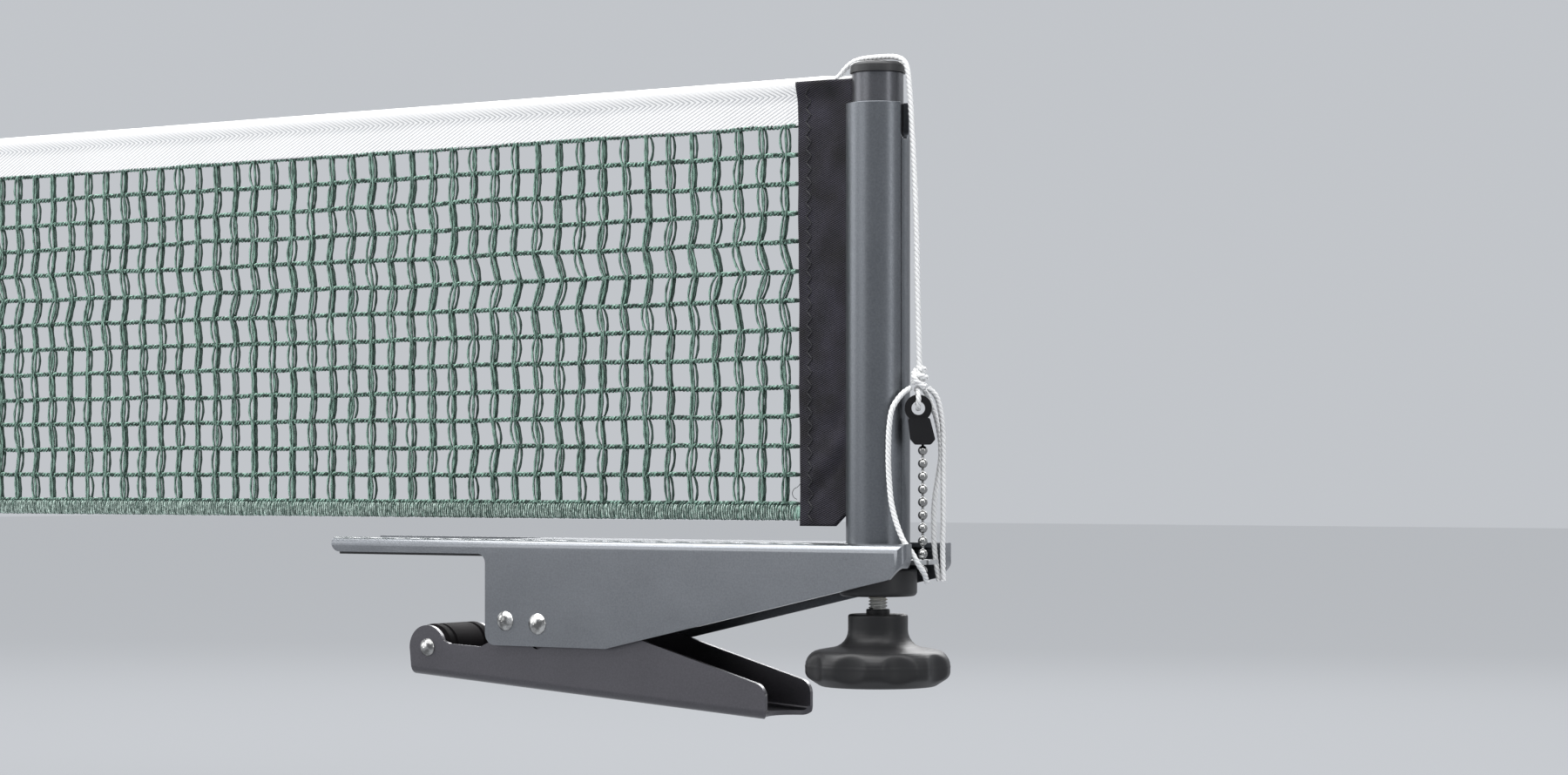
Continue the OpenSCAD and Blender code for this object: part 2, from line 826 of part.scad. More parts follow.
module height_screw() {
    shank_top = riser_low - side_gap;
    color("silver")
    translate([post_x, 0, 0])
        rotate_extrude()
            polygon([
                [0, knob_top - screw_grip], [screw_d / 2, knob_top - screw_grip],
                [screw_d / 2, shank_top], [journal_d / 2, shank_top], [journal_d / 2, ring_z],
                [groove_r, ring_z], [groove_r, ring_z + ring_t], [journal_d / 2, ring_z + ring_t],
                [journal_d / 2, ring_z + 2 * ring_t], [0, ring_z + 2 * ring_t]
            ]);
}

module retaining_ring() {
    color("dimgray")
    translate([post_x, 0, ring_z + seat_gap])
        difference() {
            cylinder(h = ring_t - 2 * seat_gap, r = ring_r);
            translate([0, 0, -1])
                cylinder(h = 3, r = groove_r + seat_gap);
        }
}

module height_knob() {
    rim_top = knob_low + rim_h;
    hub_top = knob_top - neck_h;
    bore_r = screw_d / 2 + seat_gap;
    bore_low = knob_top - screw_grip - bore_spare;
    color("black")
    translate([post_x, 0, 0])
        difference() {
            rotate_extrude()
                polygon(rounded([
                    [bore_r, knob_top, 0],
                    [bore_r, bore_low, 0],
                    [0, bore_low, 0],
                    [0, knob_low, 0],
                    [knob_d / 2 - knob_foot_in, knob_low, knob_foot_r],
                    [knob_d / 2, knob_low + knob_foot_up, knob_foot_r],
                    [knob_d / 2, rim_top - rim_fall, shoulder_r],
                    [hub_d / 2, rim_top + flare_rise, flare_r],
                    [hub_d / 2, hub_top, 2 * neck_corner],
                    [neck_d / 2, hub_top, 0],
                    [neck_d / 2, knob_top, neck_corner]
                ]));
            for (i = [0 : hollows - 1])
                rotate([0, 0, 360 * i / hollows + hollow_turn])
                    translate([knob_d / 2 + hollow_r - hollow_depth, 0, knob_low - 1])
                        cylinder(h = knob_h, r = hollow_r);
        }
}

// A side band: its flat cloth, and the welt round the rod that slides in a post
module band_cloth(x0, x1, cut_x) {
    difference() {
        translate([x0, -band_t / 2, band_low])
            cube([x1 - x0, band_t, band_top - band_low]);
        translate([cut_x, 0, band_low])
            rotate([0, 45, 0])
                cube([band_cut, 2 * band_t, band_cut], center = true);
    }
}

module band_welt(x, flat_x) {
    translate([0, 0, welt_low])
    linear_extrude(welt_top - welt_low)
    difference() {
        union() {
            translate([x, 0])
                circle(r = rod_d / 2 + welt_t);
            translate([min(x, flat_x), -band_t / 2])
                square([abs(x - flat_x), band_t]);
        }
        translate([x, 0])
            circle(r = rod_d / 2 + seat_gap);
    }
}

module welt_rod(x) {
    translate([x, 0, welt_low])
        cylinder(h = welt_top - welt_low, r = rod_d / 2);
}

module side_band() {
    color("midnightblue")
    union() {
        band_cloth(band_x0, band_x1, band_x1);
        band_welt(welt_x, band_x1 - 1);
    }
}

module band_rod() {
    color("white")
        welt_rod(welt_x);
}

module far_band() {
    color("midnightblue")
    union() {
        band_cloth(far_x0, far_x1, far_x0);
        band_welt(far_welt_x, far_x0 + 1);
    }
}

module far_band_rod() {
    color("white")
        welt_rod(far_welt_x);
}

module net_mesh() {
    gap_w = net_len / mesh_cols - mesh_t;
    height = tape_low - hem_top;
    gap_h = height / mesh_rows - mesh_t;
    color("seagreen")
    translate([far_x1, 0, hem_top])
        rotate([90, 0, 0])
            linear_extrude(mesh_t, center = true)
                difference() {
                    square([net_len, height]);
                    for (i = [0 : mesh_cols - 1], k = [0 : mesh_rows - 1])
                        translate([
                            mesh_t / 2 + i * (gap_w + mesh_t),
                            mesh_t / 2 + k * (gap_h + mesh_t)
                        ])
                            square([gap_w, gap_h]);
                }
}

module top_tape() {
    color("white")
    difference() {
        union() {
            along(far_x1, band_x0)
                translate([-tape_t / 2, tape_low])
                    square([tape_t, sleeve_z - tape_low]);
            along(far_x0, tape_end)
                translate([0, sleeve_z])
                    circle(r = sleeve_r);
        }
        along(far_x0 - 1, tape_end + 1)
            translate([0, sleeve_z])
                circle(r = cord_d / 2 + run_gap);
    }
}

module bottom_hem() {
    color("seagreen")
    along(far_x1, band_x0)
        translate([-tape_t / 2, net_low])
            square([tape_t, hem_h]);
}

module tape_cord() {
    color("white")
    union() {
        along(far_x0 - far_tail, tape_end)
            translate([0, sleeve_z])
                circle(r = cord_d / 2);
        translate([far_x0 - far_tail, 0, sleeve_z])
            sphere(r = far_knot_r);
    }
}

module cord_over_post() {
    cord_along(over_route);
}

module cord_tail_left() {
    cord_along(left_route);
}

module cord_tail_right() {
    cord_along(right_route);
}

module cord_tail_back() {
    cord_along(back_route);
}

// The connector's own place: its body hangs over the chain, its eye a little to the side
module at_connector() {
    translate([post_x + ball_x, 0, connector_z])
        rotate([0, 0, connector_turn])
            translate([-connector_lean, 0, 0])
                children();
}

// The knot is two swells, with the short loop that hangs the connector
module cord_knot() {
    color("white")
    union() {
        translate([post_x + knot_x, 0, knot_z])
            sphere(r = knot_r);
        translate([post_x + knot_x, 0, knot_z - knot_step])
            sphere(r = knot_low_r);
        at_connector()
            translate([0, 0, (eye_d + eye_hole_d) / 4])
                rotate([0, 90, 0])
                    rotate_extrude()
                        translate([link_r, 0])
                            circle(r = cord_d / 2);
    }
}

module chain_connector() {
    low = -connector_len;
    mid = connector_lean;
    color("black")
    difference() {
        at_connector()
            union() {
                across(eye_t)
                    circle(r = eye_d / 2);
                across(connector_t)
                    polygon(rounded([
                        [-waist_w / 2, waist_z, chin_r],
                        [mid - connector_w / 2, low + chin_h, chin_r],
                        [mid - connector_w / 2 + chin_in, low, chin_r],
                        [mid + connector_w / 2 - chin_in, low, chin_r],
                        [mid + connector_w / 2, low + chin_h, chin_r],
                        [waist_w / 2 + waist_shift, waist_z, chin_r]
                    ]));
            }
        at_connector()
            cross_bore(0, 0, eye_hole_d / 2);
        // The socket that holds the last ball of the chain
        translate([post_x + ball_x, 0, connector_z + low - 1])
            cylinder(h = socket_depth + 1, r = ball_d / 2 + run_gap);
    }
}

module ball_chain() {
    low_z = plate_top - plate_t - lay_gap - ball_d / 2;
    first_z = plate_top + lay_gap + ball_d / 2;
    top_z = first_z + (balls_above - 1) * ball_pitch;
    color("silver")
    translate([post_x + ball_x, 0, 0])
        union() {
            for (i = [0 : balls_above - 1])
                translate([0, 0, first_z + i * ball_pitch])
                    sphere(r = ball_d / 2);
            translate([0, 0, low_z])
                sphere(r = ball_d / 2);
            translate([0, 0, low_z])
                cylinder(h = top_z - low_z, r = link_d / 2);
        }
}

bracket();
arm_pads();
post_plate();
pivot_rivet();
stop_rivet();
pivot_sleeve();
torsion_spring();
squeeze_lever();
jaw_rivet();
roller_core();
jaw_roller();
outer_post();
foot_block();
thread_insert();
riser_tube();
riser_plug();
post_cap();
height_screw();
retaining_ring();
height_knob();
side_band();
band_rod();
net_mesh();
top_tape();
bottom_hem();
far_band();
far_band_rod();
tape_cord();
cord_over_post();
cord_knot();
cord_tail_left();
cord_tail_right();
cord_tail_back();
chain_connector();
ball_chain();
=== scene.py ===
"""A table tennis net clamp and its net: finishes and soft pieces round the rigid frame.

A shape is its points and a list of face blocks: arrays of point numbers, a row to each face.
"""

import math

import bmesh
import bpy
import numpy as np
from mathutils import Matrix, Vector


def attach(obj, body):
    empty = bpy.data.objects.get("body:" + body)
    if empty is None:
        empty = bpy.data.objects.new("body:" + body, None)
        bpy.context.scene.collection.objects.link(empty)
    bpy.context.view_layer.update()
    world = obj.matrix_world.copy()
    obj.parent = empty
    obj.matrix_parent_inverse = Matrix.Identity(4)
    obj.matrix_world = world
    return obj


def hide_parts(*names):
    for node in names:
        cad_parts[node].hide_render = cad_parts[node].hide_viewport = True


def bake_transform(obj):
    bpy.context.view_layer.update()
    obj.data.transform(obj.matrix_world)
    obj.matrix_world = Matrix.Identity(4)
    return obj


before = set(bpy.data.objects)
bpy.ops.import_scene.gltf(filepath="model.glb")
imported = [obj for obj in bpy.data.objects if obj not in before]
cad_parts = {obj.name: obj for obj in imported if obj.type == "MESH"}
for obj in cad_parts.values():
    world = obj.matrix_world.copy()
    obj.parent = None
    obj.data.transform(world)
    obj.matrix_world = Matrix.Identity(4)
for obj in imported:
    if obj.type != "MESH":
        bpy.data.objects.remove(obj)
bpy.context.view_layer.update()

MM = 0.001
POST_X = 142.5

# ---------------------------------------------------------------- camera, light and floor

VIEW_TURN = math.radians(33)
VIEW_DISTANCE = 1052
VIEW_ASIDE = 29.3
VIEW_HEIGHT = 27.6
LENS = 77.5
HORIZON_SHIFT = 98 / 1800
FLOOR_Z = -90
FLOOR_WIDTH = 12
PALE = (0.54, 0.56, 0.59)
FLOOR_PAINT = (0.36, 0.37, 0.39)
FLOOR_GLOW = 0.85
ROOM_LIGHT = 0.10


def place_camera():
    """A level camera, turned from the part's side towards the table.

    Its axis passes just inside the post.
    """
    ahead = np.array([-math.sin(VIEW_TURN), math.cos(VIEW_TURN), 0])
    aside = np.array([math.cos(VIEW_TURN), math.sin(VIEW_TURN), 0])
    spot = np.array([POST_X, 0, VIEW_HEIGHT]) - VIEW_DISTANCE * ahead - VIEW_ASIDE * aside
    data = bpy.data.cameras.new("camera")
    data.sensor_fit = "HORIZONTAL"
    data.sensor_width = 36
    data.lens = LENS
    data.shift_y = HORIZON_SHIFT
    data.clip_start = 0.01
    camera = bpy.data.objects.new("camera", data)
    camera.location = spot * MM
    camera.rotation_euler = (math.pi / 2, 0, VIEW_TURN)
    bpy.context.scene.collection.objects.link(camera)
    bpy.context.scene.camera = camera


def softbox(name, spot, aim, size, power):
    """An oblong lamp at a spot, turned towards its aim, all in metres and watts."""
    data = bpy.data.lights.new(name, "AREA")
    data.shape = "RECTANGLE"
    data.size, data.size_y = size
    data.energy = power
    lamp = bpy.data.objects.new(name, data)
    away = Vector(spot) - Vector(aim)
    lamp.location = spot
    lamp.rotation_euler = away.to_track_quat("Z", "Y").to_euler()
    bpy.context.scene.collection.objects.link(lamp)


def seen_share(tree, share):
    """A socket with the share for rays from the camera or off a gloss, and 0 for all others."""
    ray = tree.nodes.new("ShaderNodeLightPath")
    seen = ray.outputs["Is Camera Ray"]
    for kind in ("Is Glossy Ray", "Is Transmission Ray"):
        either = tree.nodes.new("ShaderNodeMath")
        either.operation = "MAXIMUM"
        tree.links.new(seen, either.inputs[0])
        tree.links.new(ray.outputs[kind], either.inputs[1])
        seen = either.outputs[0]
    shared = tree.nodes.new("ShaderNodeMath")
    shared.operation = "MULTIPLY"
    shared.inputs[1].default_value = share
    tree.links.new(seen, shared.inputs[0])
    return shared.outputs[0]


def seen_mix(tree, share, plain, seen):
    """One shader for most rays, mixed with the seen one by the share of the rays that see it."""
    mix = tree.nodes.new("ShaderNodeMixShader")
    tree.links.new(seen_share(tree, share), mix.inputs[0])
    tree.links.new(plain.outputs[0], mix.inputs[1])
    tree.links.new(seen.outputs[0], mix.inputs[2])
    return mix.outputs[0]


def light_room():
    """Soft lamps, and a pale room that the camera and the gloss see and that lights dimly."""
    bpy.context.scene.view_settings.view_transform = "Standard"
    world = bpy.data.worlds.new("room")
    bpy.context.scene.world = world
    world.use_nodes = True
    tree = world.node_tree
    tree.nodes.clear()
    out = tree.nodes.new("ShaderNodeOutputWorld")
    light = tree.nodes.new("ShaderNodeBackground")
    light.inputs["Color"].default_value = (0.80, 0.85, 0.92, 1)
    light.inputs["Strength"].default_value = ROOM_LIGHT
    seen = tree.nodes.new("ShaderNodeBackground")
    seen.inputs["Color"].default_value = (*PALE, 1)
    seen.inputs["Strength"].default_value = 1
    tree.links.new(seen_mix(tree, 1, light, seen), out.inputs[0])
    middle = (0.05, 0, 0.06)
    post_foot = (0.14, 0, 0.06)
    softbox("key_lamp", (-0.88, -0.38, 0.32), (0.12, 0, 0.06), (0.55, 0.55), 2.4)
    softbox("front_lamp", (-0.43, -0.95, 0.34), (0.12, 0, 0.04), (0.6, 0.55), 1.8)
    softbox("top_lamp", (0.05, -0.52, 0.85), (0.05, 0, 0), (1.6, 0.5), 10.9)
    softbox("overhead_lamp", (0.05, -0.06, 0.70), middle, (1.3, 0.3), 8)
    softbox("side_lamp", (0.95, -0.16, 0.32), post_foot, (0.10, 0.7), 1.25)
    softbox("back_lamp", (-0.25, 0.75, 0.54), middle, (1.2, 0.4), 11)
    softbox("rim_lamp", (0.62, 0.80, 0.25), post_foot, (0.07, 0.5), 0.3)


def lay_floor():
    """A plain pale floor below the part."""
    bpy.ops.mesh.primitive_plane_add(size=FLOOR_WIDTH, location=(0, 0, FLOOR_Z * MM))
    floor = bpy.context.object
    floor.name = "floor"
    paint = bpy.data.materials.new("floor_paint")
    paint.use_nodes = True
    tree = paint.node_tree
    shader = tree.nodes["Principled BSDF"]
    shader.inputs["Base Color"].default_value = (*FLOOR_PAINT, 1)
    shader.inputs["Roughness"].default_value = 0.9
    seen = tree.nodes.new("ShaderNodeEmission")
    seen.inputs["Color"].default_value = (*PALE, 1)
    out = tree.nodes["Material Output"]
    tree.links.new(seen_mix(tree, FLOOR_GLOW, shader, seen), out.inputs["Surface"])
    floor.data.materials.append(paint)


# ---------------------------------------------------------------- finishes


class Wire:
    """An output of a finish's nodes. Each sum on wires adds its Math node."""

    def __init__(self, finish, socket):
        self.finish = finish
        self.socket = socket

    def maths(self, operation, *terms):
        """A Math node's result on the terms, wires or numbers."""
        return self.finish.node("ShaderNodeMath", {"operation": operation}, terms)

    def __add__(self, other):
        return self.maths("ADD", self, other)

    __radd__ = __add__

    def __sub__(self, other):
        return self.maths("SUBTRACT", self, other)

    def __rsub__(self, other):
        return self.maths("SUBTRACT", other, self)

    def __mul__(self, other):
        return self.maths("MULTIPLY", self, other)

    __rmul__ = __mul__

    def __abs__(self):
        return self.maths("ABSOLUTE", self)

    def wave(self, period):
        """0 to 1 and back, once in each period."""
        return self.maths("SINE", self * (2 * math.pi / period)) * 0.5 + 0.5


class Finish:
    """A material that works on its piece's own coordinates, in metres."""

    def __init__(self, name, colour, **constants):
        self.material = bpy.data.materials.new(name)
        self.material.use_nodes = True
        self.tree = self.material.node_tree
        self.shader = self.tree.nodes["Principled BSDF"]
        self.material.diffuse_color = (*colour, 1)
        self.shader.inputs["Base Color"].default_value = (*colour, 1)
        for socket, value in constants.items():
            self.shader.inputs[socket.replace("_", " ")].default_value = value
        self.where = self.node("ShaderNodeTexCoord", out="Object")

    def node(self, kind, settings=None, sockets=(), out=0):
        """A node of a kind, with its settings and then its sockets' values or wires.

        The sockets are a sequence in the node's order, or a dict by name or number.
        """
        made = self.tree.nodes.new(kind)
        for key, value in (settings or {}).items():
            setattr(made, key, value)
        pairs = sockets.items() if isinstance(sockets, dict) else enumerate(sockets)
        for key, value in pairs:
            self.plug(made.inputs[key], value)
        return Wire(self, made.outputs[out])

    def plug(self, socket, value):
        """Joins a wire to a socket, or sets the socket to a value."""
        if isinstance(value, Wire):
            self.tree.links.new(value.socket, socket)
        else:
            socket.default_value = value

    def feed(self, socket, value):
        """Plugs a value or wire into the surface shader."""
        self.plug(self.shader.inputs[socket], value)

    def noise(self, scale, detail, stretch=None):
        """Cloudy noise with scale blobs to the metre, squeezed along the axes by stretch."""
        where = self.where
        if stretch:
            where = self.node("ShaderNodeMapping", None, {"Vector": where, "Scale": stretch})
        return self.node("ShaderNodeTexNoise", None,
                         {"Vector": where, "Scale": scale, "Detail": detail}, "Fac")

    def mix(self, factor, one, other):
        """The colour one where the factor is 0 and other where it is 1.

        The node's colours are its inputs 6 and 7 and its output 2.
        """
        one, other = (c if isinstance(c, Wire) else (*c, 1) for c in (one, other))
        return self.node("ShaderNodeMix", {"data_type": "RGBA"}, {0: factor, 6: one, 7: other}, 2)

    def ramp(self, value, low, high):
        """0 at low, 1 at high and straight between."""
        return self.node("ShaderNodeMapRange", None,
                         {"Value": value, "From Min": low, "From Max": high})

    def axes(self, vector):
        """The three parts of a vector."""
        parted = self.tree.nodes.new("ShaderNodeSeparateXYZ")
        self.plug(parted.inputs[0], vector)
        return [Wire(self, parted.outputs[i]) for i in range(3)]

    def cloth_axes(self):
        """The two directions of a cloth's own map, in millimetres."""
        return self.axes(self.node("ShaderNodeUVMap", {"uv_map": "cloth"}))[:2]

    def relief(self, height, depth, strength=1.0):
        """Bumps of a height from 0 to 1, depth metres deep."""
        self.feed("Normal", self.node("ShaderNodeBump", None,
                                      {"Height": height, "Distance": depth, "Strength": strength}))


def scaled(colour, share):
    """A colour made lighter or darker, up to full white."""
    return tuple(min(1, share * c) for c in colour)


def enamel(name, colour, metallic, roughness, coat=0.0):
    """Sprayed metallic enamel: faint mottling, flake, fine orange peel and a few rubbed streaks."""
    paint = Finish(name, colour, Metallic=metallic, Coat_Weight=coat, Coat_Roughness=0.16)
    cloud = paint.noise(55, 4)
    flake = paint.noise(1700, 2)
    shade = paint.ramp(flake * 0.8 + cloud * 0.2, 0.35, 0.65)
    paint.feed("Base Color", paint.mix(shade, scaled(colour, 0.91), scaled(colour, 1.09)))
    streak = paint.noise(900, 3, (0.12, 1, 1))
    paint.feed("Roughness", streak * 0.10 + cloud * 0.10 + (roughness - 0.10))
    paint.relief(paint.noise(2600, 2) * 0.6 + streak * 0.4, 0.00003, 0.35)
    return paint


def moulded(name, colour, roughness, shine=0.35):
    """Moulded plastic or rubber: a fine grain with softly uneven gloss."""
    stuff = Finish(name, colour, Specular_IOR_Level=shine)
    cloud = stuff.noise(70, 3)
    stuff.feed("Base Color", stuff.mix(cloud, scaled(colour, 0.8), scaled(colour, 1.25)))
    stuff.feed("Roughness", cloud * 0.16 + (roughness - 0.08))
    stuff.relief(stuff.noise(3200, 2), 0.00003, 0.5)
    return stuff


def plated(name, colour, roughness, cloud_share=0.82):
    """Bright metal, faintly brushed and clouded. Its clouds keep the given share of colour; a low
    share paints dark reflections in them.
    """
    metal = Finish(name, colour, Metallic=1.0)
    cloud = metal.ramp(metal.noise(300, 3), 0.40, 0.60)
    metal.feed("Base Color", metal.mix(cloud, scaled(colour, cloud_share), colour))
    metal.feed("Roughness", cloud * 0.12 + (roughness - 0.06))
    metal.relief(metal.noise(4000, 2, (0.2, 1, 1)), 0.00001, 0.4)
    return metal


def netting(name, stretch, specks=0.0, light=(0.400, 0.640, 0.530)):
    """Green yarn: light streaks of fibre drawn out along it, dark specks, and painted shade in its
    grooves.

    The map's x is a tint for the whole yarn, from light to dark: painted shadow on yarns that lie
    behind others, and random tone. Its y deepens the painted groove shade.
    """
    yarn = Finish(name, (0.06, 0.14, 0.11), Roughness=0.85)
    tint, shade = yarn.cloth_axes()
    groove = yarn.ramp(shade, 0.38, 0.88)
    fibre = yarn.noise(2000, 3, stretch)
    patch = yarn.noise(150, 3)
    dark = (0.008, 0.022, 0.017)
    streaks = yarn.mix(yarn.ramp(fibre, 0.38, 0.58), (0.028, 0.070, 0.056), light)
    faded = yarn.mix(patch, (0.095, 0.170, 0.140), light)
    tone = yarn.mix(0.30, streaks, faded)
    speck = yarn.ramp(yarn.noise(950, 1), 0.50, 0.56)
    # The dark colour is laid on for random specks, for the tint's painted shadow and for the
    # painted groove shade.
    for share in (speck * specks, tint * 0.8, groove * 0.94):
        tone = yarn.mix(share, tone, dark)
    yarn.feed("Base Color", tone)
    yarn.relief(fibre, 0.0003, 0.8)
    return yarn


def twill_tape():
    """White tape with a chevron twill: ribs that turn back at the fold line, painted grey in their
    grooves as shade, and a fine weft.

    The ribs fade out on the sleeve, where the cloth is stretched smooth.
    """
    cloth = Finish("white_twill", (0.86, 0.86, 0.86), Roughness=0.8)
    along, up = cloth.cloth_axes()
    woven = cloth.ramp(up, 13.0, 10.5)
    rib = (along + abs(up - TWILL_FOLD) * 1.9).wave(2.2)
    weft = (along + up * 0.2).wave(0.55)
    # The grey in the ribs' grooves is painted shade.
    shade = cloth.ramp(rib, 0.0, 0.50) * woven + (1 - woven)
    cloth.feed("Base Color", cloth.mix(shade, (0.44, 0.45, 0.47), (0.86, 0.86, 0.86)))
    cloth.relief(rib * woven * 0.7 + weft * 0.15, 0.00012, 0.6)
    return cloth


def band_twill():
    """Near-black twill: fine slanting ribs painted with bluish highlights on their crests and shade
    between them, brighter in random patches, and a faint sheen.
    """
    cloth = Finish("black_twill", (0.020, 0.019, 0.025), Roughness=0.75, Sheen_Weight=0.05,
                   Specular_IOR_Level=0.15)
    along, up = cloth.cloth_axes()
    rib = (up - along * 0.40).wave(0.62)
    patch = cloth.ramp(cloth.noise(90, 3), 0.35, 0.7)
    # Painted shade between the ribs (low) and painted bluish highlights on their crests (high); the
    # random patches brighten both.
    low = cloth.mix(patch, (0.003, 0.003, 0.003), (0.006, 0.005, 0.007))
    high = cloth.mix(patch, (0.028, 0.026, 0.031), (0.060, 0.057, 0.078))
    cloth.feed("Base Color", cloth.mix(rib, low, high))
    cloth.relief(rib * 0.8 + cloth.noise(1500, 2) * 0.2, 0.00018, 0.9)
    return cloth


def thread(name, colour):
    """Sewing thread: fine fibres and faint shading."""
    yarn = Finish(name, colour, Roughness=0.6)
    fibre = yarn.noise(3500, 2)
    yarn.feed("Base Color", yarn.mix(fibre, scaled(colour, 0.80), colour))
    yarn.relief(fibre, 0.00006, 0.6)
    return yarn


def white_rope():
    """White laid cord: fine fibres, and painted shade, grey, where its strands meet, low in the
    map's y.
    """
    rope = Finish("white_rope", (0.90, 0.90, 0.89), Roughness=0.75)
    height = rope.cloth_axes()[1]
    fibre = rope.noise(3500, 2)
    # The grey where the strands meet is painted shade.
    groove = rope.ramp(height, 0.05, 0.55)
    strand = rope.mix(fibre, (0.80, 0.81, 0.82), (0.94, 0.94, 0.93))
    rope.feed("Base Color", rope.mix(groove, (0.40, 0.41, 0.42), strand))
    rope.relief(fibre, 0.00006, 0.6)
    return rope


# ---------------------------------------------------------------- surfaces


def grid_faces(at):
    """Quads between neighbours on a grid of point numbers, or on each of a stack of such grids."""
    corners = at[..., :-1, :-1], at[..., :-1, 1:], at[..., 1:, 1:], at[..., 1:, :-1]
    return np.stack(corners, axis=-1).reshape(-1, 4)


def fans(tips, rims):
    """Triangles from each tip to the steps of its rim, a closed row of point numbers."""
    tips = np.broadcast_to(np.asarray(tips)[..., None], rims[..., 1:].shape)
    return np.stack([tips, rims[..., 1:], rims[..., :-1]], axis=-1).reshape(-1, 3)


def ring_angles(sides):
    """The angles of the points round a ring."""
    return 2 * np.pi * np.arange(sides) / sides


def unit(vectors):
    """The vectors at length 1."""
    return vectors / np.linalg.norm(vectors, axis=-1, keepdims=True)


def bell(place, middle, reach):
    """1 at the middle, falling to 0 as a normal curve does."""
    return np.exp(-(((place - middle) / reach) ** 2))


def travelled(points):
    """How far along a line each of its points lies."""
    return np.concatenate([[0], np.cumsum(np.linalg.norm(np.diff(points, axis=0), axis=1))])


def smooth_line(points, step):
    """A Catmull-Rom curve through the points, as points a step apart along it."""
    knots = np.asarray(points, float)
    knots = np.concatenate([2 * knots[:1] - knots[1:2], knots, 2 * knots[-1:] - knots[-2:-1]])
    t = np.linspace(0, 1, 24, endpoint=False)[None, :, None]
    a, b, c, d = (knots[i:len(knots) - 3 + i, None] for i in range(4))
    curve = 0.5 * (2 * b + (c - a) * t + (2 * a - 5 * b + 4 * c - d) * t**2
                   + (3 * b - a - 3 * c + d) * t**3)
    curve = np.concatenate([curve.reshape(-1, 3), knots[-2:-1]])
    gone = travelled(curve)
    stops = np.linspace(0, gone[-1], max(2, round(gone[-1] / step) + 1))
    return np.stack([np.interp(stops, gone, curve[:, i]) for i in range(3)], axis=-1)


ODD_WAY = (0.31, 0.87, 0.11)


def carried_side(line):
    """A direction square to a line at each of its points, turning as little as it can.

    The first is square to an odd way as well, along which no line starts.
    """
    way = unit(np.gradient(line, axis=0))
    side = np.cross(way[0], ODD_WAY)
    sides = []
    for ahead in way:
        side = side - ahead * (side @ ahead)
        side = side / np.linalg.norm(side)
        sides.append(side)
    return np.array(sides)


def tubes(lines, radius, sides, side=(0, 1, 0)):
    """Tubes along lines, an array of tube, ring and xyz: circles square to each line, ends closed.

    The radius is a number, or an array that fits tube, ring and place round the ring. Side is a
    direction that no line runs along, or one for each ring.
    """
    lines = np.asarray(lines, float)
    count, rings = lines.shape[:2]
    way = unit(np.gradient(lines, axis=1))
    across = unit(np.cross(way, side))
    up = np.cross(across, way)
    turn = ring_angles(sides)[:, None]
    radius = np.broadcast_to(radius, (count, rings, sides))[..., None]
    skin = lines[:, :, None] + radius * (np.cos(turn) * across[:, :, None]
                                         + np.sin(turn) * up[:, :, None])
    at = np.arange(count * rings * sides).reshape(count, rings, sides)
    at = np.concatenate([at, at[..., :1]], axis=2)
    tips = at.max() + 1 + np.arange(2 * count).reshape(count, 2)
    points = np.concatenate([skin.reshape(-1, 3), lines[:, [0, -1]].reshape(-1, 3)])
    return points, [grid_faces(at), fans(tips, at[:, [0, -1]])]


def joined(*shapes):
    """Several shapes as one."""
    points, blocks = np.zeros((0, 3)), []
    for more_points, more_blocks in shapes:
        blocks += [block + len(points) for block in more_blocks]
        points = np.concatenate([points, more_points])
    return points, blocks


def outward(mesh):
    """Turns every face outwards."""
    shape = bmesh.new()
    shape.from_mesh(mesh)
    bmesh.ops.recalc_face_normals(shape, faces=shape.faces)
    shape.to_mesh(mesh)
    shape.free()


def piece(name, shape, body, finish, replaces=(), ways=None, crease=60):
    """A piece of a shape, with its finish and the CAD nodes that it replaces.

    It rides on a body, or on none where the body is None. Ways is its map, two numbers for
    each point. Edges sharper than the crease, in degrees, stay sharp.
    """
    points, blocks = shape
    mesh = bpy.data.meshes.new(name)
    mesh.from_pydata((points * MM).tolist(), [], sum((block.tolist() for block in blocks), []))
    if ways is not None:
        corners = np.empty(len(mesh.loops), np.int32)
        mesh.loops.foreach_get("vertex_index", corners)
        mesh.uv_layers.new(name="cloth").data.foreach_set("uv", ways[corners].ravel())
    outward(mesh)
    mesh.shade_smooth()
    mesh.set_sharp_from_angle(angle=math.radians(crease))
    made = bpy.data.objects.new(name, mesh)
    bpy.context.scene.collection.objects.link(made)
    made.data.materials.append(finish.material)
    if body:
        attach(made, body)
    if replaces:
        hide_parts(*replaces)
    return made


def thicken(made, thickness):
    """Gives a sheet its thickness, half to each side."""
    layer = made.modifiers.new("thickness", "SOLIDIFY")
    layer.thickness = thickness * MM
    layer.offset = 0


# ---------------------------------------------------------------- cords

CORD, CORD_STEP = 1.7, 0.45
STRAND_ROOT, STRAND_SWELL = 0.78, 0.26
OVER_ROUTE = [
    (-17, 0, 151), (-16, 0, 151), (-14, 0, 152.3), (-11.8, 0, 154.4), (-9.2, 0, 156.1),
    (-6, 0, 156.9), (-2, 0, 157.1), (2, 0, 157.1), (5.5, 0, 156.9), (8.6, 0, 156),
    (10.2, 0, 154.1), (10.9, 0, 151.5), (11.3, 0, 148), (11.9, 0, 141), (12.6, 0, 130),
    (13.3, 0, 118), (13.9, 0, 104), (14.3, 0, 86), (14.7, 0, 70), (15, 0, 60.4),
]
LEFT_ROUTE = [
    (13.1, -2.2, 53.9), (11.6, -5, 51.8), (9.9, -7.6, 47.6), (9.2, -8.4, 42), (9, -8.6, 36),
    (9, -8.6, 30), (9.4, -8.6, 24), (10.2, -8.8, 18.5), (11.9, -8.8, 12.5), (14.4, -8.8, 7),
    (17.6, -8.6, 2.8), (19.2, -7.6, -0.6), (19.8, -5, -3.6), (19, -2.4, -6.2),
]
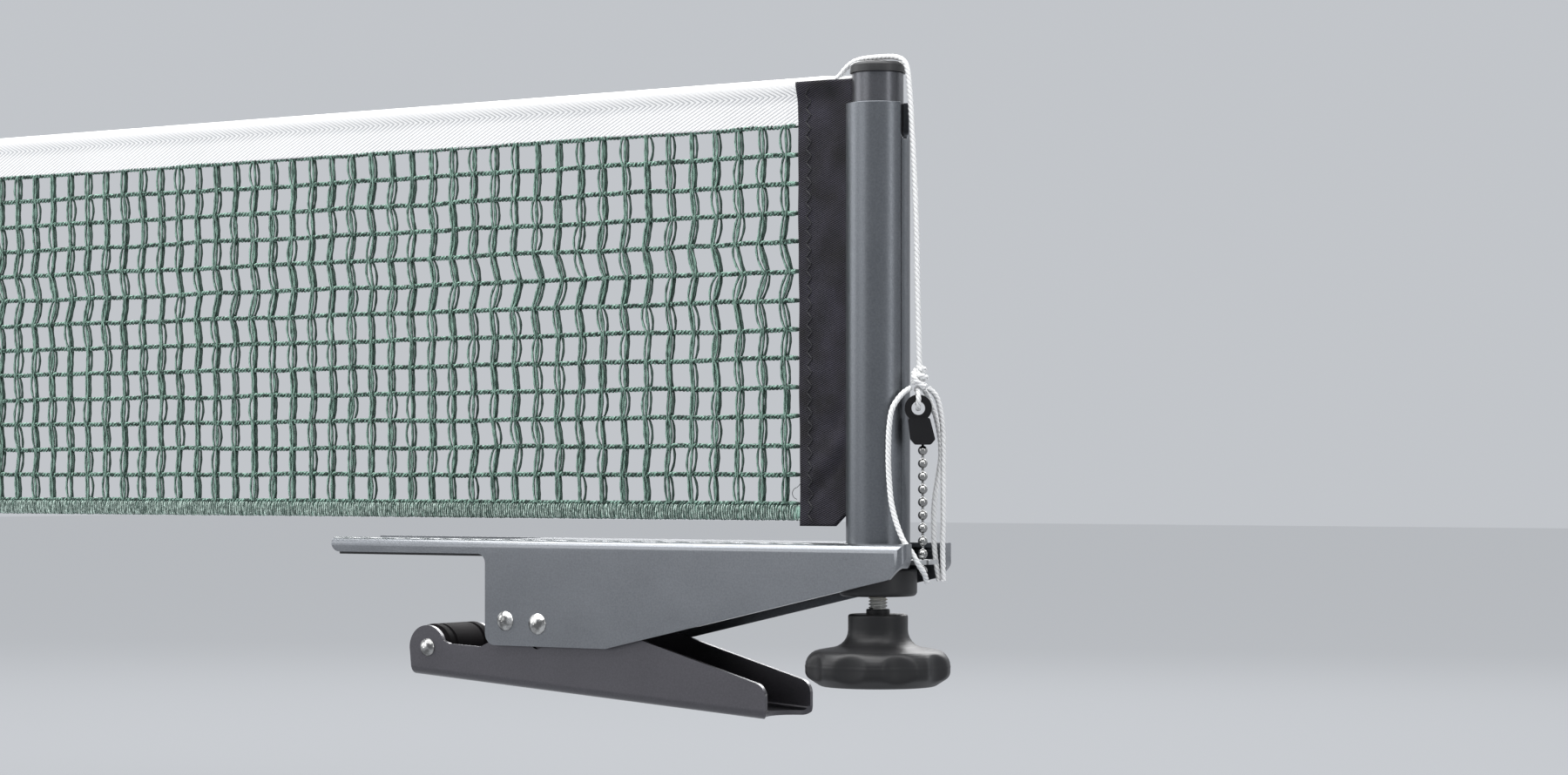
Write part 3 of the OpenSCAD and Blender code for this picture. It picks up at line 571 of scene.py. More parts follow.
RIGHT_ROUTE = [
    (17, 2, 53.9), (18.6, 4.2, 51.2), (19.4, 5.6, 46), (19.6, 6.6, 39), (19.4, 7, 30),
    (19.2, 7.4, 20), (18.8, 8, 11), (18.4, 8.4, 4), (18.4, 8.6, -2), (18.4, 8.8, -6),
]
BACK_ROUTE = [
    (14.7, 2.9, 53.8), (15.2, 5.6, 50.4), (16.4, 7.6, 45), (17.2, 8.9, 38), (17.2, 9.2, 32),
    (16.2, 9.2, 26), (15, 9, 18), (14.9, 8.9, 10), (15.2, 8.9, 4), (16, 8.9, -2),
    (16.8, 8.9, -6),
]


def twisted(line, diameter, lay=4.6, strands=3, sides=18):
    """Laid cord: a tube whose ring has one swell for each strand, turned once in each lay length.

    Returns the shape, and a map of how far along each point is and how high on its strand.
    """
    gone = np.linspace(0, travelled(line)[-1], len(line))
    swell = np.abs(np.cos(strands / 2 * (ring_angles(sides) - 2 * np.pi * gone[:, None] / lay)))
    radius = diameter / 2 * (STRAND_ROOT + STRAND_SWELL * swell)
    ways = np.stack([np.broadcast_to(gone[:, None], swell.shape), swell], -1).reshape(-1, 2)
    return (tubes(line[None], radius[None], sides, carried_side(line)[None]),
            np.concatenate([ways, [[0, 1], [gone[-1], 1]]]))


def laid(*cords):
    """Several twisted cords as one shape with one map."""
    shapes, maps = zip(*cords)
    return joined(*shapes), np.concatenate(maps)


def lay_cord(name, route, node, body, finish, length, **facts):
    """A laid cord along a route from the post's axis. Its length, in metres, is not used."""
    line = smooth_line(np.array(route, float) + (POST_X, 0, 0), CORD_STEP)
    shape, ways = twisted(line, CORD)
    made = piece(name, shape, body, finish, (node,), ways)
    return made


# ---------------------------------------------------------------- net

BAND_X0 = 113.2
FAR_X0, FAR_X1 = -271.6, -253.3
NET_LOW, HEM_TOP, TAPE_LOW = 12.3, 17.8, 137.5
BAND_LOW, BAND_BRIM = 10.8, 151.1
MESH_COLUMNS, MESH_ROWS = 41, 13
MESH_PITCH = 8.95
FIRST_COLUMN = POST_X - 34.3
ROW_PITCH = (TAPE_LOW - HEM_TOP) / MESH_ROWS
SEWN_IN = 2
YARN_SIDES = 6
SWAY_ROW, SWAY_REACH = 5, 1.4
chance = np.random.default_rng(11)


def slow_noise(rows, columns, waves, reach):
    """Rows of smooth noise from -1 to 1: sums of a few sine waves of random phase and pace."""
    place = np.arange(columns)[None, :, None]
    pace = chance.uniform(0.2, 1, (rows, 1, waves)) * reach
    phase = chance.uniform(0, 2 * np.pi, (rows, 1, waves))
    return np.sin(place * pace + phase).sum(axis=2) / waves


def crossings():
    """Where the yarns cross: a grid of row, column and xyz that sways from row to row.

    Each row steps aside against the one above it, most at the sway row, by an amount that
    changes slowly along the net. The first and last rows are held.
    """
    shape = MESH_ROWS + 1, MESH_COLUMNS
    along = np.arange(MESH_COLUMNS)
    down = np.arange(MESH_ROWS + 1)[:, None]
    step = 1.20 + 0.22 * np.sin(0.17 * along + 0.6)
    strong = 0.25 + 0.80 * bell(down, SWAY_ROW, SWAY_REACH)
    zigzag = -step * strong * np.cos(np.pi * down)
    free = (down > 0) & (down < MESH_ROWS)
    x = FIRST_COLUMN - MESH_PITCH * along + (zigzag + 0.7 * slow_noise(*shape, 3, 0.8)) * free
    y = 0.35 * slow_noise(*shape, 3, 0.6) * free
    z = TAPE_LOW - ROW_PITCH * down + 0.35 * slow_noise(*shape, 3, 1.2) * free
    return np.stack([x, y, z], axis=-1)


def between(knots, steps):
    """A line straight through knots, along the second axis, in steps between each two of them.

    Returns its points, the share of the way from one knot to the next at each point, and the
    number of the knot before it.
    """
    count = knots.shape[1] - 1
    place = np.arange(count * steps + 1) / steps
    low = np.minimum(place.astype(int), count - 1)
    share = place - low
    way = share[:, None]
    return knots[:, low] * (1 - way) + knots[:, low + 1] * way, share, low


def inside(x, reach):
    """1 where x lies between the bands, falling to 0 over the last reach before each."""
    return np.clip(np.minimum(BAND_X0 - x, x - FAR_X1) / reach, 0, 1)


def ring_map(lines, shade, tint):
    """A map for yarns along lines: a tint for each yarn, partly painted shadow, and a painted shade
    for each place round it.
    """
    count, rings = lines.shape[:2]
    skin = np.broadcast_to(shade, (count, rings, YARN_SIDES)).ravel()
    tints = np.concatenate([np.repeat(tint, rings * YARN_SIDES), np.repeat(tint, 2)])
    return np.stack([tints, np.concatenate([skin, np.full(2 * count, 0.5)])], -1)


def column_yarns(cross):
    """Four slack yarns for each column: gripped round each row, and bowed apart between rows.

    The map's painted shade is highest at the sides of each yarn, where it meets its neighbours.
    Its tint is painted shadow, highest for the last strand of each column, which lies in the
    others' shadow, plus a random tone.
    """
    rank = np.array([-1.0, -0.28, 0.34, 1.0])[:, None, None]
    face = np.array([-1, 1, -1, 1])[:, None, None]
    shaded = [0.14, 0.0, 0.28, 0.90]
    core, share, low = between(cross.transpose(1, 0, 2), 7)
    bow = np.sin(np.pi * share) ** 0.7
    shape = (len(rank), MESH_ROWS, MESH_COLUMNS)
    swell = chance.uniform(0.2, 1.5, shape)[:, low].transpose(0, 2, 1)
    drift = chance.uniform(-0.28, 0.28, shape)[:, low].transpose(0, 2, 1) * bow
    x = core[..., 0] + rank * (0.38 + 1.06 * bow * swell) + drift
    y = core[..., 1] + face * (0.62 - 0.42 * bow) + 0.4 * drift
    z = np.broadcast_to(core[..., 2], x.shape)
    lines = np.stack([x, y, z], axis=-1).reshape(-1, len(share), 3)
    lumps = np.sin(np.arange(len(share)) * 1.9 + np.arange(len(lines))[:, None])
    radius = (0.38 + 0.07 * bow) * (1 + 0.16 * lumps)
    # Painted shade at the sides of each yarn.
    painted_side_shade = np.abs(np.cos(ring_angles(YARN_SIDES)))
    # Painted shadow on the last strand of each column, plus random tone.
    tint = np.repeat(shaded, MESH_COLUMNS) + chance.uniform(0, 0.25, len(lines))
    return tubes(lines, radius[..., None], YARN_SIDES), ring_map(lines, painted_side_shade, tint)


def row_yarns(cross, chosen):
    """Two plies twisted tightly round each other along each chosen row, through every crossing.

    Inside the bands the twist is flat and thin. The map's painted shade is highest where the plies
    touch.
    """
    lay, swing, thick = 2.7, 0.43, 0.49
    cross = cross[chosen]
    near, far = cross[:, :1].copy(), cross[:, -1:].copy()
    near[..., :2], far[..., :2] = (BAND_X0 + SEWN_IN, 0), (FAR_X1 - SEWN_IN, 0)
    past_edge = np.array([SEWN_IN + 0.6, 0, 0])
    core, share, _ = between(
        np.concatenate([near, near - past_edge, cross, far + past_edge, far], axis=1), 20)
    sag = 0.22 * np.sin(np.pi * share) * slow_noise(*core.shape[:2], 3, 0.15)
    free = inside(core[..., 0], 1.5)
    axis = core + np.stack([0 * sag, 0 * sag, sag], -1)
    turn = 2 * np.pi * np.linspace(0, (BAND_X0 - FAR_X1) / lay, len(share))
    angle = turn + np.arange(len(cross))[:, None]
    aside = np.stack([0 * sag, (0.06 + 0.26 * free) * np.cos(angle), swing * np.sin(angle)], -1)
    lines = np.concatenate([axis + aside, axis - aside])
    radius = thick - 0.27 * (1 - np.concatenate([free, free]))
    shape = tubes(lines, radius[..., None], YARN_SIDES, (0, 0, 1))
    skin = shape[0][:-2 * len(lines)].reshape(*lines.shape[:2], YARN_SIDES, 3)
    off = np.linalg.norm(skin - np.concatenate([axis, axis])[:, :, None], axis=-1)
    # Painted shade where the plies touch, from how deep each point lies in the twist.
    deep = 1 - off / (swing + thick)
    return shape, ring_map(lines, np.clip(0.34 + 1.5 * deep, 0, 1), np.zeros(len(lines)))


HEM_X0, HEM_X1, HEM_MIDDLE = FAR_X1 - 1, BAND_X0 + SEWN_IN, (NET_LOW + HEM_TOP) / 2


def bulged(turn, power):
    """A cosine with its middle part pushed out towards 1 and -1 by a power below 1."""
    return np.abs(np.cos(turn)) ** power * np.sign(np.cos(turn))


def hem_threads():
    """Overlock loops round the bottom of the net: leaning flat rings, closed on themselves.

    The rings go flat inside the bands. The map paints shade at the sides of each thread.
    """
    pitch, thick, depth = 0.9, 0.33, 0.62
    count = round((HEM_X1 - HEM_X0) / pitch)
    turn = np.linspace(0, 2 * np.pi, 15)
    height = (HEM_TOP - NET_LOW) / 2 - 0.35
    middle = np.linspace(HEM_X0 + pitch, HEM_X1 - pitch, count)[:, None]
    lean = chance.uniform(-0.35, 0.35, (count, 1))
    tall = height * chance.uniform(0.93, 1.0, (count, 1))
    x = middle + lean * bulged(turn, 0.6) + 0.45 * pitch * np.sin(turn)
    y = depth * inside(middle, 2) * bulged(turn - np.pi / 2, 0.5)
    z = HEM_MIDDLE + tall * bulged(turn, 0.6)
    lines = np.stack([x, y, z], axis=-1)
    # Painted shade at the sides of each thread, a little lighter than on the columns.
    painted_side_shade = 0.8 * np.abs(np.cos(ring_angles(YARN_SIDES)))
    tint = chance.uniform(0, 0.42, count)
    return tubes(lines, thick, YARN_SIDES, (0.02, 1, 0.03)), ring_map(lines, painted_side_shade, tint)


def hem_strip():
    """The hem's padding: a straight tube along x, stretched to a flat oval about its line."""
    half_depth, half_height = 0.45, (HEM_TOP - NET_LOW - 0.7) / 2
    middle = np.array([0, 0, HEM_MIDDLE + 0.05])
    line = middle + np.linspace(HEM_X0, HEM_X1, 120)[:, None] * (1, 0, 0)
    points, blocks = tubes(line[None], 1.0, 16)
    return middle + (points - middle) * (1, half_depth, half_height), blocks


# ---------------------------------------------------------------- tape and bands

SLEEVE_Z, SLEEVE_R, FLARE_LOW = 151.0, 1.27, 144.5
TAPE_END, TAPE_TIP, PLY_END = 125.5, 133.6, 149.8
PLY_HALF, BAND_HALF = 0.36, 0.46
TAPE_THICK, BAND_THICK = 0.45, 0.5
TWILL_FOLD = 9.5
WELT_X, WELT_R, WELT_BRIM = 138.6, 2.33, 146.1
FLAT_END = 131
SEAM_X, SEAM_TOP = BAND_X0 + 4, 149


def sheet_grid(x, y, z, along, up):
    """A sheet from grids of x, y and z, with its map in millimetres along and up the cloth."""
    at = np.arange(y.size).reshape(y.shape)
    points, ways = (np.stack([np.broadcast_to(axis, y.shape) for axis in axes], -1)
                    for axes in ((x, y, z), (along, up)))
    return (points.reshape(-1, 3), [grid_faces(at)]), ways.reshape(-1, 2)


def flare(z):
    """From 0 below the sleeve to 1 at its middle: how far the cloth has opened round the cord."""
    part = np.clip((z - FLARE_LOW) / (SLEEVE_Z - FLARE_LOW), 0, 1)
    return part**2 * (3 - 2 * part)


def ply_half(z):
    """Half the distance between the tape's plies at a height."""
    return PLY_HALF + (SLEEVE_R - PLY_HALF) * flare(z)


def tape_sheet():
    """The tape's section, two plies hung from the sleeve round its cord, carried along x.

    The plies fold up just inside the bands, where only the sleeve goes on. Past the place where
    the cord leaves it, the sleeve flattens and ends at the post. Elsewhere the plies wave a little.
    """
    turn = np.linspace(np.pi, 0, 13)
    ring = np.stack([SLEEVE_R * np.cos(turn), SLEEVE_Z + SLEEVE_R * np.sin(turn)], -1)
    drop = np.linspace(TAPE_LOW, SLEEVE_Z, 23)[:-1]
    half = ply_half(drop)
    section = np.concatenate([np.stack([-half, drop], -1), ring, np.stack([half, drop], -1)[::-1]])
    gone = travelled(section)
    y, z = section.T
    x = np.linspace(FAR_X0, TAPE_TIP, 330)[:, None]
    bare = np.clip(np.maximum(x - BAND_X0 - 1, FAR_X1 - 1 - x) / 4, 0, 1)
    rise = PLY_END - TAPE_LOW
    lift = rise * bare * np.clip((PLY_END - z) / rise, 0, 1)
    z = z + lift
    y = np.where(lift > 0, np.sign(y) * ply_half(z), y)
    empty = np.clip((x - TAPE_END + 1) / 3, 0, 1)
    y = y * (1 - 0.72 * empty)
    z = z - 0.5 * empty * np.clip((z - SLEEVE_Z) / 1.3, 0, 1)
    slack = np.clip((147 - z) / 10, 0, 1) * (1 - bare)
    y = y + slack * (0.16 * np.sin(x / 13) + 0.10 * np.sin(x / 4.7 + 1))
    z = z + 0.18 * slack * np.sin(x / 21)
    return sheet_grid(x, y, z, x, np.minimum(gone, gone[-1] - gone))


def band_face(x, z, face):
    """How far a band's cloth stands off its middle plane at x and z of the band by the post.

    Half its gap, plus the opening over the sleeve at the top, plus ripples, plus the wrinkles
    near the foot, which die out at the seam that holds the net. Face is -1 or 1.
    """
    flat_part = np.clip((FLAT_END - x) / 3, 0, 1)
    lift = flare(z) * np.clip((TAPE_END + 3.5 - x) / 3.5, 0, 1)
    steep, gentle = z - 0.9 * (x - 120), z - 0.5 * (x - 120)
    crease = bell(steep, 22, 3) - 0.8 * bell(steep, 29, 3.5) + 0.7 * bell(gentle, 40, 4)
    ripple = 0.14 * np.sin(z / 8 + x / 5) + 0.098 * np.sin(z / 3.1 - x / 2.3)
    sewn = np.clip((x - BAND_X0 - 1) / 5, 0, 1)
    return face * (BAND_HALF + 1.42 * lift) + flat_part * (
        0.62 * crease * sewn + ripple * (1 - lift))


def band_lean(x, z):
    """How far the band's free edge leans in towards the post, most at the foot."""
    return 0.9 * np.clip((FLAT_END - x) / 18, 0, 1) * np.clip((BAND_BRIM - z) / 140, 0, 1)


def on_side(x, side):
    """A place on the band by the post, or its mirror place on the far band where side is -1."""
    return x if side > 0 else FAR_X1 - (x - BAND_X0)


def band_sheet(side):
    """A side band: a folded sheet seen from above as a long U round its rod, carried upwards.

    Its lower corner is cut off, its upper edge opens over the sleeve, and the welt is shorter
    than the flat cloth at both ends.
    """
    turn = np.radians(np.linspace(-168, 168, 26))
    welt = np.stack([WELT_X + WELT_R * np.cos(turn), WELT_R * np.sin(turn)], -1)
    flat = np.linspace(BAND_X0, welt[0, 0] - 0.6, 40)
    front, back = (np.stack([flat, np.full(len(flat), y)], -1) for y in (-BAND_HALF, BAND_HALF))
    plan = np.concatenate([front, welt, back[::-1]])
    on_flat = np.repeat([True, False, True], [len(front), len(welt), len(back)])
    gone = travelled(plan)
    x, y = plan.T
    low = BAND_LOW + np.interp(x, (126.5, 130.5), (0, 3.4)) + np.interp(x, (131.8, 133.4), (0, 5.9))
    high = np.interp(x, (133.6, 135.6), (BAND_BRIM, WELT_BRIM))
    z = low + (high - low) * np.linspace(0, 1, 170)[:, None]
    x = x + band_lean(x, z)
    y = np.where(on_flat, band_face(x, z, np.sign(y)), y)
    return sheet_grid(on_side(x, side), y, z, np.minimum(gone, gone[-1] - gone), z)


def zigzag(side, face):
    """A sewn zigzag up a band: a thread that steps across, over and back, on one face."""
    stitches, steps = 64, 8
    place = np.arange(stitches * steps + 1) / steps
    sweep = 2 * np.abs(place % 2 - 1) - 1
    low = BAND_LOW + 1.5
    z = low + (SEAM_TOP - low) * place / stitches
    x = SEAM_X + 0.95 * sweep
    x = x + band_lean(x, z)
    y = band_face(x, z, face) + face * (0.22 + 0.12 * np.sin(np.pi * (sweep + 1) / 2))
    return tubes(np.stack([on_side(x, side), y, z], -1)[None], 0.20, 6, (0.1, 1, 0.05))


def loose_thread():
    """A stray end of thread that curls out of the seam at the band's net edge."""
    route = np.array([(1.5, -0.9, 24.5), (0.2, -1.0, 23.2), (-1.1, -1.1, 22.5),
                      (-1.7, -1.2, 21.2), (-1.2, -1.2, 19.9), (-0.1, -1.0, 19.2)])
    return tubes(smooth_line(route + (BAND_X0, 0, 0), 0.25)[None], 0.11, 6, (0.2, 1, 0.1))


# ---------------------------------------------------------------- turned and wound pieces


def profile_points(corners, steps=6):
    """An outline of (r, z, corner radius) as points, each corner rounded by its arc."""
    spots = np.array([corner[:2] for corner in corners], float)
    line = [spots[:1]]
    for before, spot, after, (_, _, radius) in zip(spots, spots[1:], spots[2:], corners[1:]):
        if radius == 0:
            line.append(spot[None])
            continue
        back, on = unit(before - spot), unit(after - spot)
        half = math.acos(np.clip(back @ on, -1, 1)) / 2
        centre = spot + unit(back + on) * radius / math.sin(half)
        start = spot + back * radius / math.tan(half) - centre
        stop = spot + on * radius / math.tan(half) - centre
        first = math.atan2(start[1], start[0])
        sweep = (math.atan2(stop[1], stop[0]) - first + 3 * math.pi) % (2 * math.pi) - math.pi
        angle = first + sweep * np.linspace(0, 1, steps + 1)
        line.append(centre + radius * np.stack([np.cos(angle), np.sin(angle)], -1))
    line.append(spots[-1:])
    return np.concatenate(line)


def even_line(points, step):
    """The same line in short even steps that keep its corners."""
    parts = [points[:1]]
    for a, b in zip(points[:-1], points[1:]):
        count = max(1, math.ceil(np.linalg.norm(b - a) / step))
        parts.append(a + (b - a) * (np.arange(1, count + 1) / count)[:, None])
    return np.concatenate(parts)


def turned(radius, height):
    """A surface of revolution round the post's axis, closed at both ends by a pole on the axis.

    There is a radius for each ring and angle, and a height for each ring.
    """
    rings, sides = radius.shape
    turn = ring_angles(sides)
    z = np.broadcast_to(height[:, None], radius.shape)
    skin = np.stack([POST_X + radius * np.cos(turn), radius * np.sin(turn), z], -1)
    at = np.arange(rings * sides).reshape(rings, sides)
    at = np.concatenate([at, at[:, :1]], axis=1)
    poles = [(POST_X, 0, height[0]), (POST_X, 0, height[-1])]
    first, last = at.max() + 1, at.max() + 2
    return (np.concatenate([skin.reshape(-1, 3), poles]),
            [grid_faces(at), fans(first, at[0]), fans(last, at[-1][::-1])])


POLE = 0.02
KNOB_TOP, KNOB_LOW, KNOB_R, RIM_TOP = -14.8, -38.9, 22.75, -26.3
HOLLOWS, HOLLOW_R, HOLLOW_DEPTH, HOLLOW_TURN = 9, 8.7, 1.9, math.radians(38)


def knob_shape():
    """The knob: its turned profile, cut by round hollows whose edges are softly rounded.

    The radius is a smooth minimum of the profile and of each hollow's circle, and a fine ridge
    goes round where the halves of the mould met.
    """
    neck, lip, bore, bore_low = 9.35, 3.7, 3.02, KNOB_TOP - 19.5
    shoulder, mould_line, soft = KNOB_TOP - 1.6, -32.6, 0.55
    line = even_line(profile_points([
        (POLE, KNOB_LOW, 0), (KNOB_R - 5, KNOB_LOW, 3), (KNOB_R, KNOB_LOW + 3.2, 3),
        (KNOB_R, RIM_TOP - 2, 5), (neck, RIM_TOP + 0.4, 5.5), (neck, shoulder, 0.8),
        (lip, shoulder, 0), (lip, KNOB_TOP, 0.4), (bore, KNOB_TOP, 0),
        (bore, bore_low, 0), (POLE, bore_low, 0)]), 0.55)
    half = np.pi / HOLLOWS
    off = (ring_angles(HOLLOWS * 22) - HOLLOW_TURN + half) % (2 * half) - half
    centre = KNOB_R + HOLLOW_R - HOLLOW_DEPTH
    ahead, aside = centre * np.cos(off), np.abs(centre * np.sin(off))
    chord = np.sqrt(np.maximum(HOLLOW_R**2 - aside**2, 0))
    cut = np.where(aside < HOLLOW_R, ahead - chord, ahead + 4)
    r = line[:, :1]
    radius = -soft * np.log(np.exp(-r / soft) + np.exp(-cut / soft))
    radius = np.maximum(np.where(r < KNOB_R - 6, r, radius), POLE)
    ridge = 0.10 * bell(line[:, 1:], mould_line, 0.25) * (r > KNOB_R - 4)
    return turned(radius + ridge, line[:, 1])


def screw_shape():
    """The height screw: a thread of one millimetre pitch below, and a plain journal above.

    The radius is the root's, plus a ridge that climbs one pitch in each turn and fades out at
    both ends. The journal has a groove for its ring.
    """
    low, high, sides = KNOB_TOP - 19, 7.8, 24
    root, ridge, journal, groove = 2.42, 0.57, 2.0, 1.6
    z = np.arange(low, high, 0.1)
    phase = (z[:, None] - np.arange(sides) / sides) % 1.0
    crest = np.clip(1.6 * np.abs(2 * phase - 1) - 0.3, 0, 1)
    fade = np.clip(np.minimum(z - low, high - z) / 0.8, 0, 1)[:, None]
    top = np.array([(journal, high), (journal, 10.7), (groove, 10.7), (groove, 11.5),
                    (journal, 11.5), (journal, 12.3), (POLE, 12.3)])
    above = np.broadcast_to(top[:, :1], (len(top), sides))
    radius = np.concatenate([np.full((1, sides), POLE), root + ridge * crest * fade, above])
    return turned(radius, np.concatenate([[low], z, top[:, 1]]))


PIVOT_X, PIVOT_Z = 8.5, -21.2
COILS, COIL_R, COIL_PITCH, WIRE = 5, 5.4, 2.2, 1.6
LEG_UP, LEG_DOWN = math.radians(125), math.radians(235)
TOP_SHEET, LEVER_FLOOR, LEVER_SLOPE, LEG_GAP = 4.3, -40.8, math.tan(math.radians(4.05)), 0.3


def spring_shape():
    """The torsion spring: a wire on a helix round the pivot, with a straight leg at each end.

    One leg runs up to the bracket's top sheet and one down to the lever's slanting floor. Each
    leg follows the helix's tangent and stops a small gap short.
    """
    whole = COILS * 2 * np.pi + LEG_DOWN - LEG_UP
    turn = np.linspace(0, whole, COILS * 40 + 12)
    angle = LEG_UP + turn
    coil = np.stack([PIVOT_X + COIL_R * np.cos(angle),
                     COIL_PITCH * (whole / 2 - turn) / (2 * np.pi),
                     PIVOT_Z + COIL_R * np.sin(angle)], -1)
    up_way = np.array([math.sin(LEG_UP), 0, -math.cos(LEG_UP)])
    down_way = np.array([-math.sin(LEG_DOWN), 0, math.cos(LEG_DOWN)])
    short = LEG_GAP + WIRE / 2
    up_run = (TOP_SHEET - short - coil[0, 2]) / up_way[2]
    height = coil[-1, 2] - (LEVER_FLOOR + short) + coil[-1, 0] * LEVER_SLOPE
    down_run = -height / (down_way[2] + down_way[0] * LEVER_SLOPE)
    steps = np.linspace(1, 0.06, 16)[:, None]
    line = np.concatenate([coil[0] + up_run * up_way * steps, coil,
                           coil[-1] + down_run * down_way * steps[::-1]])
    return tubes(line[None], WIRE / 2, 12, carried_side(line)[None])


# ---------------------------------------------------------------- knot

KNOT_X = POST_X + 15
CONNECTOR_X, EYE_Z, CONNECTOR_TURN = POST_X + 16.2, 50.75, math.radians(33)


def knot_shape():
    """The knot: a cord wound down round a core, a strand over it, and a loop through the eye.

    The winding's radius rises and falls as a sine. The loop is an upright oval, square to the
    connector.
    """
    turns, widest = 2.6, 2.05
    middle = np.array([KNOT_X, 0, 0])
    down = np.linspace(0, 1, 90)
    turn = 2 * np.pi * turns * down - 0.6
    swell = widest * np.sin(np.pi * (0.12 + 0.78 * down)) ** 0.45
    wrap = middle + np.stack([swell * np.cos(turn), swell * np.sin(turn), 60 - 6.6 * down], -1)
    down = np.linspace(0, 1, 50)
    bow = np.sin(np.pi * down)
    over = middle + np.stack(
        [-0.6 + 3.2 * down - 0.8 * bow, -1.2 - 2.0 * bow, 59.4 - 5.4 * down], -1)
    core = middle + np.stack([0 * down, 0 * down, 60.6 - 6.4 * down], -1)
    aside = np.array([math.cos(CONNECTOR_TURN), math.sin(CONNECTOR_TURN), 0])
    ahead = np.array([-math.sin(CONNECTOR_TURN), math.cos(CONNECTOR_TURN), 0])
    turn = np.linspace(0, 2 * np.pi, 61)[:, None]
    loop = (CONNECTOR_X, 0, EYE_Z) - 1.4 * aside + (
        2.5 * np.sin(turn) * ahead + (2.95 * np.cos(turn) - 0.35) * (0, 0, 1))
    return laid(twisted(wrap, CORD), twisted(over, CORD), twisted(core, 2.6),
                twisted(loop, 0.94 * CORD))


# ---------------------------------------------------------------- the scene

UPPER_ROWS = 7

place_camera()
light_room()
lay_floor()

cord_finish = white_rope()
shape, ways = knot_shape()
knot = piece("cord_loop_and_knot", shape, "clamp", cord_finish, ("cord_knot",), ways)
hung = [knot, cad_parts["chain_connector"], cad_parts["ball_chain"]]
over_post = lay_cord("net_cord_over_cap", OVER_ROUTE, "cord_over_post", None, cord_finish, 0.124,
                     far_end="knot", lay="taut", with_pieces=hung)
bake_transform(over_post)
for side_name, route, length in (("left", LEFT_ROUTE, 0.0675), ("right", RIGHT_ROUTE, 0.0614),
                                 ("back", BACK_ROUTE, 0.0617)):
    lay_cord(f"cord_tail_{side_name}_laid", route, f"cord_tail_{side_name}", "clamp",
             cord_finish, length, far_end="bare", lay="hanging")

upright_yarn = netting("upright_yarn", (1, 1, 0.22))
level_yarn = netting("level_yarn", (0.5, 1, 1), 0.9)
hem_yarn = netting("hem_yarn", (1, 1, 0.3), 0.4, (0.72, 0.88, 0.80))
cross = crossings()
shape, ways = column_yarns(cross)
piece("net_columns", shape, "riser", upright_yarn, ("net_mesh",), ways)
for part_name, chosen in (("upper", slice(UPPER_ROWS)), ("lower", slice(UPPER_ROWS, None))):
    shape, ways = row_yarns(cross, chosen)
    piece(f"net_rows_{part_name}", shape, "riser", level_yarn, (), ways)
piece("hem_core", hem_strip(), "riser", upright_yarn)
shape, ways = hem_threads()
piece("hem_overlock", shape, "riser", hem_yarn, ("bottom_hem",), ways)

shape, ways = tape_sheet()
tape = piece("tape_folded", shape, "riser", twill_tape(), ("top_tape",), ways)
thicken(tape, TAPE_THICK)
band_finish = band_twill()
piece("loose_thread", loose_thread(), "riser",
      thread("stray_thread", (0.030, 0.030, 0.034)))
thread_finish = thread("dark_thread", (0.010, 0.010, 0.013))
for side, band_name, node, rod in ((1, "band_near", "side_band", "band_rod"),
                                   (-1, "band_far", "far_band", "far_band_rod")):
    shape, ways = band_sheet(side)
    band = piece(f"{band_name}_folded", shape, "riser", band_finish, (node,), ways)
    thicken(band, BAND_THICK)
    stitches = piece(f"{band_name}_stitches", joined(zigzag(side, -1), zigzag(side, 1)), "riser",
                     thread_finish)

tape_line = np.linspace((FAR_X0 - 8, 0, SLEEVE_Z), (TAPE_END + 1, 0, SLEEVE_Z), 800)
shape, ways = twisted(tape_line, CORD)
piece("tape_cord_laid", shape, "riser", cord_finish, ("tape_cord",), ways)

piece("knob_moulded", knob_shape(), "knob",
      moulded("knob_black", (0.018, 0.018, 0.019), 0.42, 0.28), ("height_knob",), crease=40)
piece("screw_threaded", screw_shape(), "knob",
      plated("screw_zinc", (0.62, 0.62, 0.60), 0.34), ("height_screw",), crease=50)
spring = piece("spring_wound", spring_shape(), None,
               plated("spring_wire", (0.42, 0.42, 0.42), 0.36), ("torsion_spring",))
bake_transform(spring)

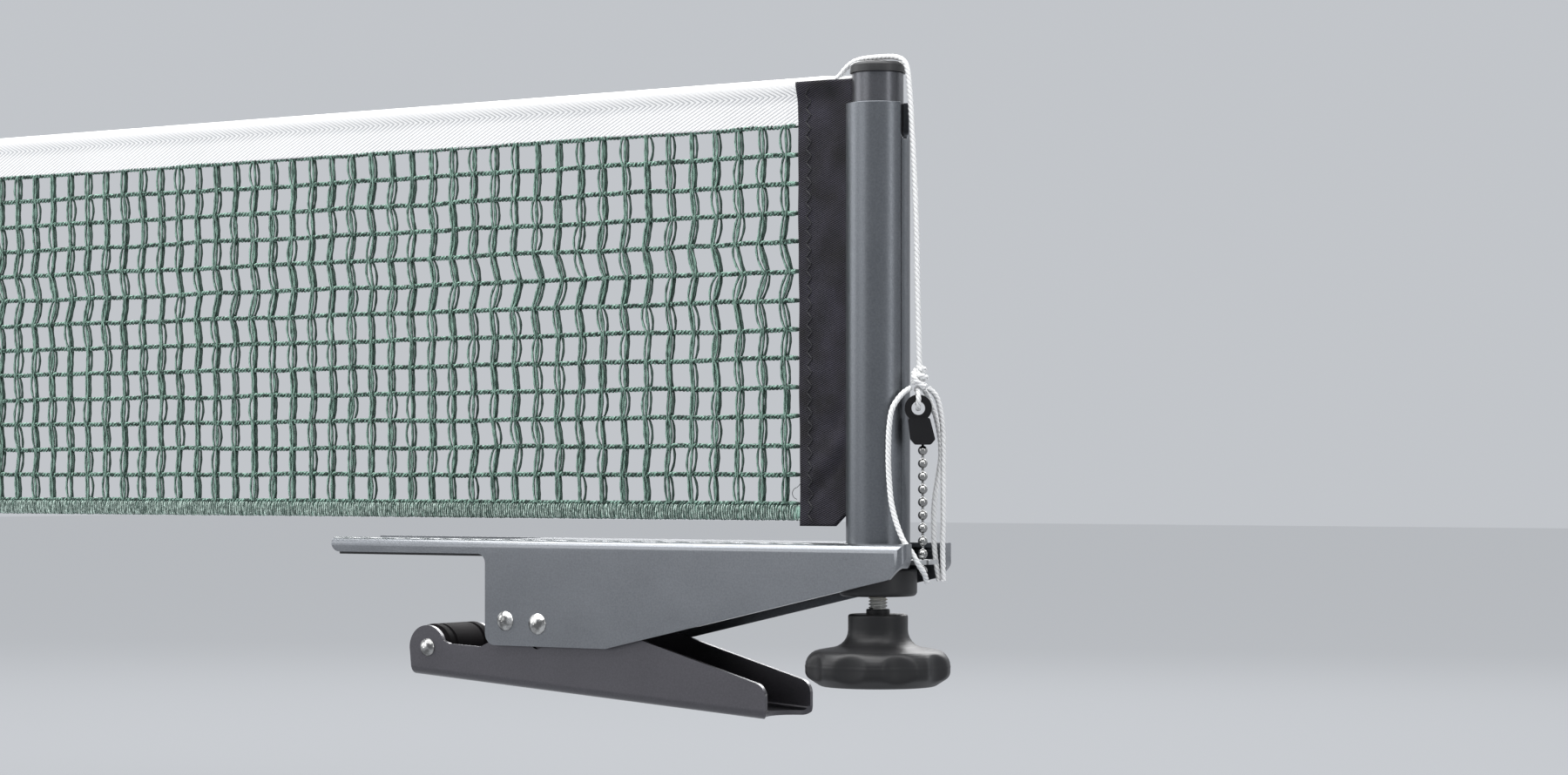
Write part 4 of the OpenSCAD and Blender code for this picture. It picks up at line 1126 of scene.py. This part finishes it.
NODE_FINISHES = {
    "bracket": (enamel("bracket_grey", (0.168, 0.178, 0.193), 0.88, 0.31, 1.0), 0.3),
    "squeeze_lever": (enamel("lever_grey", (0.080, 0.077, 0.087), 0.75, 0.38, 0.6), 0.3),
    "post_plate": (plated("plate_zinc", (0.54, 0.55, 0.56), 0.42), 0.15),
    # The rivets' dark clouds, at a share of 0.30, are painted reflections of dark surroundings.
    "pivot_rivet": (plated("rivet_nickel", (0.62, 0.62, 0.61), 0.24, 0.30), 0.2),
    "stop_rivet": (plated("stop_nickel", (0.62, 0.62, 0.61), 0.24, 0.30), 0.2),
    "jaw_rivet": (plated("jaw_nickel", (0.60, 0.60, 0.59), 0.26, 0.30), 0.2),
    "pivot_sleeve": (plated("sleeve_steel", (0.45, 0.45, 0.45), 0.4), 0.2),
    "arm_pads": (moulded("pad_rubber", (0.045, 0.045, 0.046), 0.75), 0.2),
    "jaw_roller": (moulded("roller_rubber", (0.010, 0.009, 0.010), 0.55, 0.02), 0.25),
    "roller_core": (moulded("core_white", (0.70, 0.70, 0.68), 0.45), 0.2),
    "outer_post": (enamel("post_silver", (0.135, 0.144, 0.157), 0.90, 0.36), 0.25),
    "riser_tube": (enamel("riser_silver", (0.100, 0.102, 0.111), 0.90, 0.34), 0.2),
    "riser_plug": (moulded("plug_grey", (0.12, 0.12, 0.12), 0.5), 0.2),
    "post_cap": (moulded("cap_black", (0.027, 0.027, 0.028), 0.40), 0.3),
    "foot_block": (moulded("foot_black", (0.024, 0.024, 0.025), 0.45), 0.2),
    "thread_insert": (plated("insert_brass", (0.60, 0.45, 0.20), 0.35), 0.1),
    "retaining_ring": (plated("ring_steel", (0.35, 0.35, 0.35), 0.4), 0.1),
    "band_rod": (moulded("rod_white", (0.75, 0.75, 0.73), 0.45), 0.1),
    "far_band_rod": (moulded("far_rod_white", (0.75, 0.75, 0.73), 0.45), 0.1),
    "chain_connector": (moulded("connector_black", (0.010, 0.010, 0.011), 0.34, 0.18), 0.45),
    "ball_chain": (plated("chain_nickel", (0.34, 0.34, 0.335), 0.15), 0),
}


def finish_node(name, finish, edge):
    """A node's finish, with its sharp edges eased by a small bevel in millimetres."""
    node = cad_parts[name]
    node.data.materials.clear()
    node.data.materials.append(finish.material)
    weld = node.modifiers.new("weld", "WELD")
    weld.merge_threshold = 1e-6
    if edge:
        bevel = node.modifiers.new("ease", "BEVEL")
        bevel.width = edge * MM
        bevel.segments = 3
        bevel.limit_method = "ANGLE"
        bevel.angle_limit = math.radians(35)
    node.data.shade_smooth()
    even = node.modifiers.new("even", "WEIGHTED_NORMAL")
    even.mode = "FACE_AREA"
    even.weight = 100


for node_name, (node_finish, edge) in NODE_FINISHES.items():
    finish_node(node_name, node_finish, edge)
